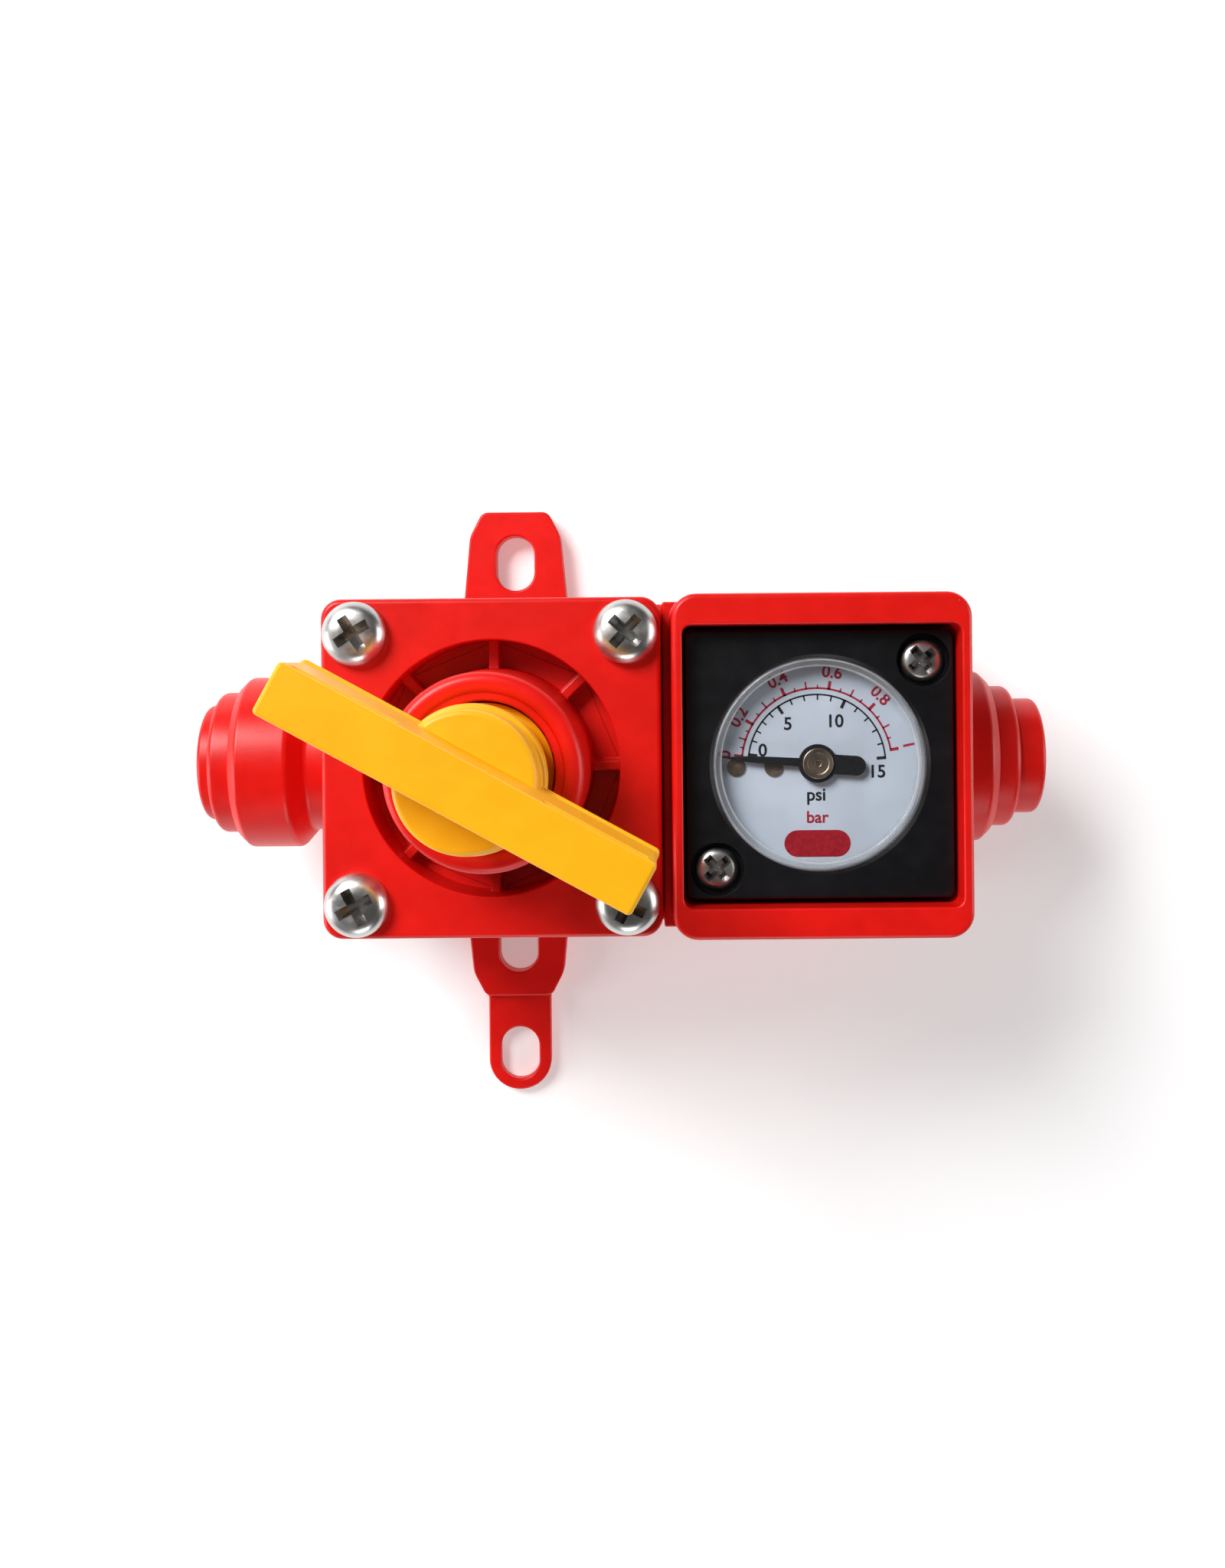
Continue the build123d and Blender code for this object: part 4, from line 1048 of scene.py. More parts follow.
@dataclass
class ValveBody:
    """The one-piece moulding with its bracket; sizes in millimetres."""

    corner_r: float = 2.1
    top: float = 25.0
    web_top: float = 30.0
    web_y: float = 34.6
    housing_x: float = 31.0
    housing_corner_r: float = 2.6
    housing_edge_r: float = 0.55
    opening: Point = (28.8, 29.2)
    floor: float = 24.4
    neck_r: float = 7.75
    collar_r: float = 9.7
    chamber_r: float = 12.5
    chamber_depth: float = 2.8
    core_wall: float = 2.0
    core_top: float = 11.0
    gauge_core_top: float = 9.0
    rib_w: float = 1.2
    screw_at: float = 14.0
    screw_hole: Point = (1.47, 13.1)
    valve_post_r: float = 9.4
    screw_post_r: float = 3.6
    tube_bores: tuple[Point, ...] = ((6.9, -8.8), (6.0, -14.2), (4.15, -17.0), (2.0, -27.0))
    poppet_bore: Triple = (5.0, 8.0, 19.3)
    plug_bore: Point = (6.92, 8.5)
    seat_bore: Point = (3.42, 19.0)
    port: Point = (1.6, 9.5)
    gauge_bore: Point = (3.95, 20.6)
    groove: float = 2.8

    def boss(self) -> Solid:
        """The neck and collar of one fitting."""
        outline = [
            (0, -16.0),
            (self.neck_r, -16.0),
            (self.neck_r, -10.8, 0.7),
            (self.collar_r, -9.1, 0.8),
            (self.collar_r, -3.6, 0.7),
            (self.collar_r - 0.95, -2.6, 0.35),
            (0, -2.6),
        ]
        return turned(rounded(outline, 5))

    def bores(self) -> list[Solid]:
        """The stepped bore of one fitting."""
        return [rod(radius, depth, 1) for radius, depth in self.tube_bores]

    def cores(self, gauge_x: float) -> list[Solid]:
        """The pockets in the back, between their ribs."""
        cells = []
        over = self.core_top + 1
        outer = Box.of("bonnet").size.x / 2 - self.core_wall
        inner = Box.of("bracket").high.x + self.core_wall
        rib_y = self.core_wall * 3.5
        half = (rib_y - self.rib_w / 2) * 2
        length = outer - rib_y - self.rib_w / 2
        rows = ((half, 0), (length, length / 2 - outer), (length, outer - length / 2))
        for sign in (-1, 1):
            for long, y in rows:
                at = (sign * (inner + outer) / 2, y)
                cell = slab((outer - inner, long), -1, self.core_top, at, 0.6, 4)
                posts = [rod(self.valve_post_r, -2, over)]
                if y:
                    place = (sign * self.screw_at, math.copysign(self.screw_at, y))
                    posts.insert(0, rod(self.screw_post_r, -2, over, place))
                cells.append(Stock(cell).cut(*posts).as_bmesh())
        reach = (self.housing_x - 2 * self.core_wall, Box.of("body").size.y - 2 * self.core_wall)
        cell_x = (reach[0] - 3 * self.rib_w) / 4
        cell_y = (reach[1] - 3 * self.rib_w) / 4
        for i in range(4):
            for j in range(4):
                x = gauge_x + (i - 1.5) * (cell_x + self.rib_w)
                y = (j - 1.5) * (cell_y + self.rib_w)
                cells.append(slab((cell_x, cell_y), -1, self.gauge_core_top, (x, y), 0.5, 3))
        return cells

    def build(self, paint: Paint) -> Item:
        """Builds the body.

        Args:
            paint: what dresses it.

        Returns:
            The finished piece.
        """
        box = Box.of("body")
        gauge_x = Box.of("gauge_case").middle.x
        side = Box.of("bonnet").size.x - 0.2
        web = (side / 2 + 0.3, gauge_x - self.housing_x / 2 + self.core_wall)
        web_at = ((web[0] + web[1]) / 2, 0)
        size = (self.housing_x, box.size.y)
        housing = slab(size, 0, box.high.z, (gauge_x, 0), self.housing_corner_r, 10)
        soften(housing, rim_of(housing, box.high.z), self.housing_edge_r, 5)
        stock = Stock(slab((side, side), 0, self.top, (0, 0), self.corner_r))
        stock.add(
            slab((web[1] - web[0], self.web_y), 0, self.web_top, web_at),
            slab((web[1] - side / 2 + 4.2, self.web_y), 0, self.top, web_at),
            housing,
            *(way.place(self.boss()) for way in Side),
        )
        floor = self.top - self.chamber_depth
        stock.cut(
            slab(self.opening, self.floor, box.high.z + 1, (gauge_x, 0), 1.0, 6),
            rod(self.chamber_r, floor, self.top + 1),
            rod(self.plug_bore[0], -1, self.plug_bore[1]),
            rod(*self.poppet_bore),
            rod(*self.seat_bore, floor + 1),
            rod(self.port[0], FITTING_Z, floor + 1, (self.port[1], 0)),
            rod(*self.gauge_bore, self.floor + 1, (gauge_x, 0)),
            slab((Box.of("bracket").size.x + 0.2, box.size.y + 2), -1, self.groove),
        )
        stock.cut(*(way.place(tool) for way in Side for tool in self.bores()))
        stock.cut(*(rod(*self.screw_hole, self.top + 1, at) for at in corners(self.screw_at)))
        stock.cut(*self.cores(gauge_x))
        piece = stock.finish("regulator_body", 0.22, 3)
        paint.dress(piece, RED_SLOT)
        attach(piece, "root")
        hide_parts("body")
        return piece


@dataclass
class Bonnet:
    """The square cover with its tower and ribbed pocket; sizes in millimetres."""

    corner_r: float = 2.1
    edge_r: float = 0.55
    pocket_r: float = 13.3
    pocket_floor: float = 28.3
    ribs: int = 8
    rib_w: float = 1.1
    rib_top: float = 30.6
    tower_r: float = 10.45
    tip_r: float = 9.93
    bore_r: float = 6.95
    screw_at: float = 14.0
    hole_r: float = 1.55
    hollows: tuple[Point, ...] = ((16.2, 1.2), (12.9, 2.2), (9.2, 3.6))
    flange_top: float = 34.1
    screw: PanScrew = PanScrew(3.35, 2.2, 1.45, 20.0, 4.1, 1.15)
    screw_turns: tuple[float, ...] = (28.0, 32.0, 62.0, 47.0)

    def tower(self, low: float, top: float) -> Solid:
        """The tower, with its rounded rim and dished mouth."""
        mouth_r = self.bore_r + 0.15
        outline = [
            (0, low),
            (self.tower_r, low),
            (self.tower_r, self.pocket_floor),
            (self.tip_r, top, 0.95),
            (self.tip_r - 1.7, top - 0.12, 1.2),
            (self.bore_r + 0.9, top - 0.62, 0.5),
            (mouth_r, top - 0.8, 0.3),
            (mouth_r, top - 3.0),
            (0, top - 3.0),
        ]
        return turned(rounded(outline, 6))

    def build(self, paint: Paint) -> list[Item]:
        """Builds the bonnet and its four screws.

        Args:
            paint: what dresses them.

        Returns:
            The finished pieces.
        """
        box = Box.of("bonnet")
        low = box.low.z
        flange = slab((box.size.x, box.size.y), low, self.flange_top, (0, 0), self.corner_r, 10)
        soften(flange, rim_of(flange, self.flange_top), self.edge_r, 5)
        stock = Stock(flange).cut(rod(self.pocket_r, self.pocket_floor, self.flange_top + 1))
        reach = self.pocket_r + 0.6 - self.tip_r
        ribs = []
        for i in range(self.ribs):
            rib = slab((reach, self.rib_w), low + 0.5, self.rib_top, (self.tip_r + reach / 2, 0))
            ribs.append(spun(rib, 360 / self.ribs * i))
        stock.add(self.tower(low + 0.2, box.high.z), *ribs)
        stock.cut(
            *(rod(radius, low - 1, low + depth) for radius, depth in self.hollows),
            rod(self.bore_r, low - 1, box.high.z - 2.0),
            *(rod(self.hole_r, low - 1, self.flange_top + 1, at) for at in corners(self.screw_at)),
        )
        cover = stock.finish("regulator_bonnet", 0.2, 3)
        paint.dress(cover, RED_SLOT)
        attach(cover, "root")
        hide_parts("bonnet")
        seats = zip(self.screw_turns, corners(self.screw_at))
        heads = [self.screw.solid(turn, at, self.flange_top) for turn, at in seats]
        screws = Stock(merged(heads)).finish("cover_screws")
        paint.dress(screws, "stainless")
        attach(screws, "root")
        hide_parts("bonnet_screws")
        return [cover, screws]


@dataclass
class Knob:
    """The tee-bar knob with its threaded stem; sizes in millimetres."""

    angle: float = -28.8
    stem_r: float = 6.85
    root_r: float = 6.15
    thread_top: float = 42.2
    shank_r: float = 6.35
    pitch: float = 2.0
    hollow_r: float = 5.1
    hollow_top: float = 48.0
    hub_bottom: float = 50.5
    lip_r: float = 6.95
    lip_top: float = 53.3
    hub_r: float = 6.5
    hub_top: float = 57.6
    bar_length: float = 36.3
    bar_w: float = 5.1
    bar_bottom: float = 54.6
    bar_lip_w: float = 5.55
    bar_lip_h: float = 0.95
    bar_corner: float = 0.45
    bar_draft: Point = (0.995, 0.97)
    bar_inset: float = 0.3
    bar_top_r: float = 0.42
    bar_lip_r: float = 0.28
    pocket_gap: float = 0.6
    pocket_end: float = 1.3
    pocket_depth: float = 0.45
    pocket_rise: Point = (-2.0, -0.75)

    def hub(self, tip: float) -> Solid:
        """Stem, lip and hub in one turned piece."""
        outline = [
            (0, tip),
            (self.root_r, tip, 0.2),
            (self.root_r, self.thread_top, 0.1),
            (self.shank_r, self.thread_top + 0.4, 0.1),
            (self.shank_r, self.hub_bottom, 0.2),
            (self.lip_r, self.hub_bottom, 0.4),
            (self.lip_r, self.lip_top, 0.3),
            (self.hub_r + 0.05, self.lip_top + 0.1, 0.15),
            (self.hub_r, self.hub_top, 0.6),
            (0, self.hub_top + 0.15),
        ]
        return turned(rounded(outline, 6))

    def thread(self, tip: float) -> Solid:
        """The stem's thread."""
        flank = 0.3
        half = self.pitch * 0.32
        root = self.root_r - 0.1
        section = [(root, 0), (self.stem_r, flank), (self.stem_r, half), (root, half + flank)]
        turns = (self.thread_top - tip - 1.4) / self.pitch
        return helix(section, self.pitch, turns, tip + 0.5, 96)

    def build(self, paint: Paint) -> Item:
        """Builds the knob.

        Args:
            paint: what dresses it.

        Returns:
            The finished piece.
        """
        box = Box.of("knob")
        tip, top = box.low.z, box.high.z
        size = (self.bar_length - self.bar_inset, self.bar_w)
        bar = slab(size, self.bar_bottom + 0.1, top, (0, 0), self.bar_corner, 5)
        for vert in bar.verts:
            if vert.co.z > top - PLANE:
                vert.co.x *= self.bar_draft[0]
                vert.co.y *= self.bar_draft[1]
        soften(bar, rim_of(bar, top), self.bar_top_r, 5)
        size = (self.bar_length, self.bar_lip_w)
        lip_top = self.bar_bottom + self.bar_lip_h
        lip = slab(size, self.bar_bottom, lip_top, (0, 0), self.bar_corner, 5)
        around = [e for e in lip.edges if not is_upright(e)]
        soften(lip, around, self.bar_lip_r, 3)
        stock = Stock(self.hub(tip)).add(spun(bar, self.angle), spun(lip, self.angle))
        end = self.bar_length / 2 - self.pocket_end
        root = self.hub_r + self.pocket_gap
        low, high = (top + rise for rise in self.pocket_rise)
        for x in (-(end + root) / 2, (end + root) / 2):
            for y in (-self.bar_w / 2, self.bar_w / 2):
                pocket = slab((end - root, 2 * self.pocket_depth), low, high, (x, y))
                stock.cut(spun(pocket, self.angle))
        stock.cut(rod(self.hollow_r, tip - 1, self.hollow_top))
        solid = stock.softened(0.22, 3, 38.0)
        piece = Stock(merged([solid, self.thread(tip)])).finish("tee_knob")
        paint.dress(piece, "yellow_plastic")
        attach(piece, "knob")
        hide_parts("knob")
        return piece


@dataclass
class PushFitting:
    """The cartridge and collet of one fitting; sizes in millimetres along its axis."""

    side: Side
    cartridge_r: float = 8.0
    flange_r: float = 6.55
    flange_t: float = 3.1
    tube_r: float = 4.1
    collet_r: float = 5.05
    tip_r: float = 5.3
    length: float = 7.2
    travel: float = 1.6
    slit_w: float = 0.8

    def cartridge(self) -> Solid:
        """The insert that holds the collet."""
        outline = [
            (6.88, -8.7),
            (6.88, -2.6, 0.2),
            (self.cartridge_r, -2.6, 0.15),
            (self.cartridge_r, 0, 0.75),
            (self.flange_r + 0.2, 0, 0.25),
            (self.flange_r + 0.2, -1.7, 0.1),
            (5.15, -1.7, 0.15),
            (5.15, -6.4, 0.3),
            (5.9, -8.7),
        ]
        return turned(rounded(outline, 5), ring=True)

    def collet(self) -> Solid:
        """The release collet with its slit fingers."""
        outline = [
            (self.tube_r, -self.length),
            (self.tip_r, -self.length),
            (self.collet_r, -6.4, 0.3),
            (self.collet_r, 0, 0.2),
            (self.flange_r, 0, 0.25),
            (self.flange_r, self.flange_t, 0.6),
            (self.tube_r + 0.1, self.flange_t, 0.35),
            (self.tube_r, 0),
            (self.tube_r, -5.4),
            (4.67, -5.4),
            (4.67, -5.9),
            (self.tube_r, -5.9),
        ]
        stock = Stock(turned(rounded(outline, 5), ring=True))
        slit = (3 * self.collet_r, self.slit_w)
        low = -self.length - 1
        slits = [spun(slab(slit, low, -self.travel), turn) for turn in (0, 90)]
        return stock.cut(*slits).softened(0.08)

    def build(self, paint: Paint) -> list[Item]:
        """Builds the cartridge and the collet.

        Args:
            paint: what dresses them.

        Returns:
            The finished pieces.
        """
        label = self.side.label
        sunk = self.travel if self.side is Side.INLET else 0.0
        collet = placed(self.collet(), Matrix.Translation((0, 0, -sunk)))
        parts = (("cartridge", self.cartridge(), "root"), ("collet", collet, f"{label}_collet"))
        made = []
        for part, solid, body in parts:
            piece = Stock(self.side.place(solid)).finish(f"{label}_tube_{part}")
            paint.dress(piece, RED_SLOT)
            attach(piece, body)
            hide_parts(f"{label}_{part}")
            made.append(piece)
        return made


@dataclass
class Bracket:
    """The wall bracket and its screws; sizes in millimetres."""

    root_w: float = 13.1
    tip_w: float = 11.3
    taper_end: float = 27.2
    ear_end: float = 30.2
    end_w: float = 8.2
    tongue_w: float = 7.8
    tongue_t: float = 1.6
    slots: tuple[Point, ...] = ((23.8, 6.8), (-23.8, 6.8), (-37.6, 6.5))
    slot_w: float = 4.75
    screw_y: float = 12.6
    seat: float = 1.6
    head_bore_r: float = 2.7
    hole_r: float = 1.3
    screw: PanScrew = PanScrew(2.6, 1.5, 1.2, 9.0, 3.1, 0.8)
    screw_turns: tuple[float, ...] = (-5.0, 45.0)

    def ear(self) -> list[tuple]:
        """The short ear's outline, from its root on the right to its root on the left."""
        edge = Box.of("bonnet").high.y
        right = [
            (self.root_w / 2, edge),
            (self.tip_w / 2, self.taper_end, 3.6),
            (self.end_w / 2, self.ear_end, 1.2),
        ]
        return right + [(-p[0], *p[1:]) for p in reversed(right)]

    def slot(self, y: float, length: float) -> Solid:
        """The cutter of one slot."""
        half = self.slot_w / 2
        ends = [(half, -length / 2), (half, length / 2), (-half, length / 2), (-half, -length / 2)]
        outline = [(half, 0)] + [(x, z, half * 0.99) for x, z in ends[1:] + ends[:1]] + [(half, 0)]
        return spun(prism(rounded(outline, 12)[:-1], -1, 5), 0, (0, y))

    def build(self, paint: Paint) -> list[Item]:
        """Builds the bracket and its screws.

        Args:
            paint: what dresses them.

        Returns:
            The finished pieces.
        """
        box = Box.of("bracket")
        upper = self.ear()
        lower = [(-p[0], -p[1], *p[2:]) for p in upper]
        outline = rounded(upper + lower, 5)
        root = Box.of("bonnet").high.y
        stock = Stock(prism(outline, 0, box.high.z))
        end, tip = self.tongue_w / 2, box.low.y
        end_r = end * 0.99
        tongue = [(-end, -root), (-end, tip, end_r), (end, tip, end_r), (end, -root)]
        stock.add(prism(rounded(tongue, 16), 0, self.tongue_t))
        slots = [self.slot(y, long) for y, long in self.slots]
        screws = []
        for sign in (-1, 1):
            at = (0, sign * self.screw_y)
            screws += [rod(self.head_bore_r, -1, self.seat, at), rod(self.hole_r, -1, 5, at)]
        stock.cut(*slots, *screws)
        strip = stock.finish("wall_bracket", 0.28, 3)
        paint.dress(strip, RED_SLOT)
        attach(strip, "root")
        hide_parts("bracket")
        heads = [
            self.screw.solid(turn, (0, sign * self.screw_y), self.seat, -1)
            for sign, turn in zip((-1, 1), self.screw_turns)
        ]
        fixings = Stock(merged(heads)).finish("bracket_fixings")
        paint.dress(fixings, "stainless")
        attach(fixings, "root")
        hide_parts("bracket_screws")
        return [strip, fixings]


@dataclass
class Coil:
    """An open helical spring; sizes in millimetres."""

    node: str
    name: str
    wire_r: float
    coils: int
    joint: str
    keep: float
    downward: bool = True
    slot: str = "spring_steel"

    def build(self, paint: Paint) -> Item:
        """Builds the spring.

        Args:
            paint: what dresses it.

        Returns:
            The finished piece.
        """
        box = Box.of(self.node)
        middle_r = box.size.x / 2 - self.wire_r
        steps = [FULL_TURN * i / 14 for i in range(14)]
        section = [(middle_r + self.wire_r * math.cos(a), self.wire_r * math.sin(a)) for a in steps]
        rise = box.size.z - 2 * self.wire_r
        wire = helix(section, rise / self.coils, self.coils, box.low.z + self.wire_r, 64)
        spring = Stock(spun(wire, 0, (box.middle.x, box.middle.y))).finish(self.name)
        paint.dress(spring, self.slot)
        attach(spring, "root")
        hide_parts(self.node)
        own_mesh(spring)
        return spring


class Ink(Enum):
    """The dial's inks, each with its finish."""

    BLACK = PrintedInk("dial_ink_black", (0.015, 0.016, 0.02))
    RED = PrintedInk("dial_ink_red", (0.5, 0.02, 0.05))
    BADGE = PrintedInk("dial_ink_badge", (0.47, 0.008, 0.022))


@dataclass(frozen=True)
class Scale:
    """One of the dial's scales: where its values lie and how its marks are drawn."""

    ink: Ink
    radius: float
    line_w: float
    outward: int
    values: tuple[Point, ...]
    step: float
    every: int
    marks: tuple[Point, ...]
    lettering_h: float

    def angle(self, value: float) -> float:
        """The angle in degrees at which a value lies, between its neighbours."""
        for (low, start), (high, end) in zip(self.values, self.values[1:]):
            if value <= high + 1e-6:
                return start + (end - start) * (value - low) / (high - low)
        return self.values[-1][1]


PSI = Scale(
    ink=Ink.BLACK,
    radius=7.3,
    line_w=0.17,
    outward=-1,
    values=((0, 172.5), (1, 160.5), (5, 124.2), (10, 65.5), (15, 4.1)),
    step=1,
    every=5,
    marks=((0.66, 0.16), (0.66, 0.16), (1.0, 0.32)),
    lettering_h=1.38,
)
BAR = Scale(
    ink=Ink.RED,
    radius=7.98,
    line_w=0.2,
    outward=1,
    values=((0, 174.3), (0.2, 148.5), (0.4, 115.0), (0.6, 80.4), (0.8, 45.3), (1.0, 9.8)),
    step=0.05,
    every=4,
    marks=((0.45, 0.15), (0.85, 0.17), (0.95, 0.32)),
    lettering_h=1.3,
)


NUMERAL_SHARE = 0.73


@dataclass
class Gauge:
    """The square gauge's front: bezel, window, printed dial, pointer and screws; millimetres."""

    corner_r: float = 0.8
    edge_r: float = 0.3
    window_r: float = 11.2
    window_chamfer: float = 0.35
    bore_r: float = 12.0
    lip: float = 0.7
    screw_at: float = 10.85
    recess_r: float = 2.8
    recess: float = 1.6
    lens_crown_r: float = 11.08
    lens_step: float = 0.5
    lens_dish: float = 0.12
    print_t: float = 0.02
    pointer_angle: float = 176.0
    tip_r: float = 9.6
    tail_r: float = 5.1
    blade_w: float = 1.0
    tail_w: float = 2.1
    hub_r: float = 2.05
    arbor_r: float = 0.5
    cap_r: float = 1.65
    screw: PanScrew = PanScrew(2.3, 1.3, 1.0, 13.5, 3.5, 1.05)
    screw_turns: tuple[float, ...] = (41.0, 38.0)
    numerals: tuple[tuple[str, Ink, float, float, float], ...] = (
        ("0", Ink.BLACK, -5.75, 1.35, 0),
        ("5", Ink.BLACK, -3.05, 4.15, 0),
        ("10", Ink.BLACK, 1.95, 4.4, 0),
        ("15", Ink.BLACK, 6.4, -1.0, 0),
        ("0", Ink.RED, -9.75, 1.0, 85),
        ("0.2", Ink.RED, -8.25, 4.95, 58),
        ("0.4", Ink.RED, -4.1, 8.85, 26),
        ("0.6", Ink.RED, 1.7, 9.6, -8),
        ("0.8", Ink.RED, 6.8, 7.1, -45),
        ("1", Ink.RED, 9.75, 1.85, -78),
        ("psi", Ink.BLACK, -0.1, -3.4, 0),
        ("bar", Ink.RED, 0.0, -5.8, 0),
    )
    badge: Triple = (7.05, 2.85, -8.55)

    def at(self) -> Point:
        """The dial's centre."""
        middle = Box.of("gauge_case").middle
        return (middle.x, middle.y)

    def screw_places(self) -> list[Point]:
        """Where the two screws stand, about the dial's centre."""
        return [(-self.screw_at, -self.screw_at), (self.screw_at, self.screw_at)]

    def finished(
        self, paint: Paint, solid: Stock, name: str, node: str, slot: str, body: str
    ) -> Item:
        """Moves a solid to the dial's centre, finishes and dresses it.

        Args:
            paint: what dresses it.
            solid: the solid, about the dial's centre.
            name: the piece's name.
            node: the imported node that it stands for.
            slot: its material slot.
            body: the body that it rides.

        Returns:
            The finished piece.
        """
        piece = Stock(spun(solid.as_bmesh(), 0, self.at())).finish(name)
        paint.dress(piece, slot)
        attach(piece, body)
        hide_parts(node)
        return piece

    def bezel(self) -> Stock:
        """The square front with its window and the screws' recesses."""
        box = Box.of("gauge_bezel")
        top = box.high.z
        block = slab((box.size.x, box.size.y), box.low.z, top, (0, 0), self.corner_r, 6)
        soften(block, rim_of(block, top), self.edge_r, 4)
        mouth = self.window_r + self.window_chamfer
        window = turned(
            [
                (0, box.low.z - 1),
                (self.bore_r, box.low.z - 1),
                (self.bore_r, top - self.lip),
                (self.window_r, top - self.lip),
                (self.window_r, top - self.window_chamfer),
                (mouth, top),
                (mouth, top + 1),
                (0, top + 1),
            ]
        )
        places = self.screw_places()
        recesses = [rod(self.recess_r, top - self.recess, top + 1, at) for at in places]
        hole_r = self.screw.shank_r + 0.05
        holes = [rod(hole_r, box.low.z - 1, top, at) for at in places]
        stock = Stock(block).cut(window, *recesses, *holes)
        return Stock(stock.softened(0.06, 2, 50.0))

    def lens(self) -> Stock:
        """The clear window, whose crown stands up in the bezel."""
        box = Box.of("gauge_lens")
        crown = box.high.z
        flange = crown - self.lens_step
        face = crown - self.lens_dish
        outline = [
            (0, box.low.z),
            (box.size.x / 2, box.low.z, 0.1),
            (box.size.x / 2, flange, 0.1),
            (self.lens_crown_r, flange),
            (self.lens_crown_r, crown, 0.32),
            (self.lens_crown_r - 0.75, crown + 0.02, 0.2),
            (self.lens_crown_r - 0.85, face, 0.1),
            (0, face),
        ]
        return Stock(turned(rounded(outline, 5)))

    def scale(self, scale: Scale, low: float) -> list[Solid]:
        """A scale's arc and its marks.

        Args:
            scale: the scale.
            low: the dial's face.

        Returns:
            The thin solids.
        """
        start, end = scale.values[-1][1], scale.values[0][1]
        high = low + self.print_t
        arc = bmesh.new()
        inner, outer = (scale.radius + way * scale.line_w / 2 for way in (-1, 1))
        points = ((inner, low), (outer, low), (outer, high), (inner, high))
        section = [arc.verts.new((r, 0, z)) for r, z in points]
        edges = [arc.edges.new((section[i - 1], section[i])) for i in range(4)]
        sweep = math.radians(end - start)
        about = {"axis": (0, 0, 1), "cent": (0, 0, 0)}
        bmesh.ops.spin(arc, geom=section + edges, steps=96, angle=sweep, **about)
        bmesh.ops.holes_fill(arc, edges=[e for e in arc.edges if e.is_boundary], sides=4)
        bmesh.ops.recalc_face_normals(arc, faces=arc.faces)
        made = [spun(arc, start)]
        count = round((scale.values[-1][0] - scale.values[0][0]) / scale.step)
        for i in range(count + 1):
            rank = 2 if i % scale.every == 0 else 1 if i % 2 == 0 else 0
            length, width = scale.marks[rank]
            middle = scale.radius + scale.outward * (length - scale.line_w) / 2
            mark = slab((length, width), low, high, (middle, 0))
            made.append(spun(mark, scale.angle(scale.step * i)))
        return made

    def lettering(self, text: str, height: float, at: Point, turn: float, low: float) -> Solid:
        """Thin raised lettering.

        Args:
            text: what it says.
            height: how tall a numeral is.
            at: its middle.
            turn: how far it is turned, in degrees.
            low: the dial's face.

        Returns:
            The thin solid.
        """
        curve = bpy.data.curves.new("lettering", "FONT")
        curve.body = text
        curve.size = height / NUMERAL_SHARE
        curve.align_x = "CENTER"
        curve.align_y = "CENTER"
        curve.offset = 0.035
        curve.extrude = self.print_t / 2
        mesh = applied(linked("lettering", curve))
        bm = bmesh.new()
        bm.from_mesh(mesh)
        bpy.data.meshes.remove(mesh)
        bmesh.ops.remove_doubles(bm, verts=bm.verts, dist=1e-4)
        bmesh.ops.translate(bm, vec=(0, 0, low + self.print_t / 2), verts=bm.verts)
        return spun(bm, turn, at)

    def prints(self, paint: Paint) -> list[Item]:
        """The dial's print, one piece for each ink.

        Args:
            paint: what dresses it.

        Returns:
            The finished pieces.
        """
        low = Box.of("gauge_dial").high.z
        parts: dict[Ink, list[Solid]] = {ink: [] for ink in Ink}
        for scale in (PSI, BAR):
            parts[scale.ink] += self.scale(scale, low)
        for text, ink, x, y, turn in self.numerals:
            height = (PSI if ink is Ink.BLACK else BAR).lettering_h
            parts[ink].append(self.lettering(text, height, (x, y), turn, low))
        long, high, y = self.badge
        half = (long - high) / 2
        ends = [rod(high / 2, low, low + self.print_t, (end, y)) for end in (-half, half)]
        pill = Stock(slab((2 * half, high), low, low + self.print_t, (0, y))).add(*ends)
        parts[Ink.BADGE].append(pill.as_bmesh())
        made = []
        for ink, solids in parts.items():
            name = f"dial_print_{ink.name.lower()}"
            piece = Stock(spun(merged(solids), 0, self.at())).finish(name)
            paint.dress(piece, "dial_face", ink.value.make())
            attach(piece, "root")
            made.append(piece)
        return made

    def pointer(self) -> Stock:
        """The tapered pointer, its hub and its tail."""
        box = Box.of("gauge_pointer")
        low, high = box.low.z, box.high.z
        near, far = self.blade_w / 2, self.blade_w * 0.35
        blade = [(0, -near), (self.tip_r * 0.75, -far), (self.tip_r, -0.1)]
        blade += [(x, -y) for x, y in reversed(blade)]
        half = self.tail_w / 2
        end_r = half * 0.99
        tail = [(0, half), (-self.tail_r, half, end_r), (-self.tail_r, -half, end_r), (0, -half)]
        hub = rod(self.hub_r, low, high)
        stock = Stock(prism(blade, low, high)).add(hub, prism(rounded(tail, 12), low, high))
        return Stock(spun(stock.softened(0.05, 2), self.pointer_angle))

    def cap(self) -> Stock:
        """The pressed bush on the pointer's hub."""
        box = Box.of("pointer_cap")
        top = box.high.z
        outline = [
            (0, box.low.z),
            (self.cap_r, box.low.z, 0.05),
            (self.cap_r, top, 0.14),
            (self.cap_r * 0.72, top, 0.3),
            (self.cap_r * 0.66, top - 0.05, 0.1),
            (0.34, top - 0.04, 0.05),
            (0.26, top - 0.24, 0.03),
            (0, top - 0.24),
        ]
        return Stock(turned(rounded(outline, 4)))

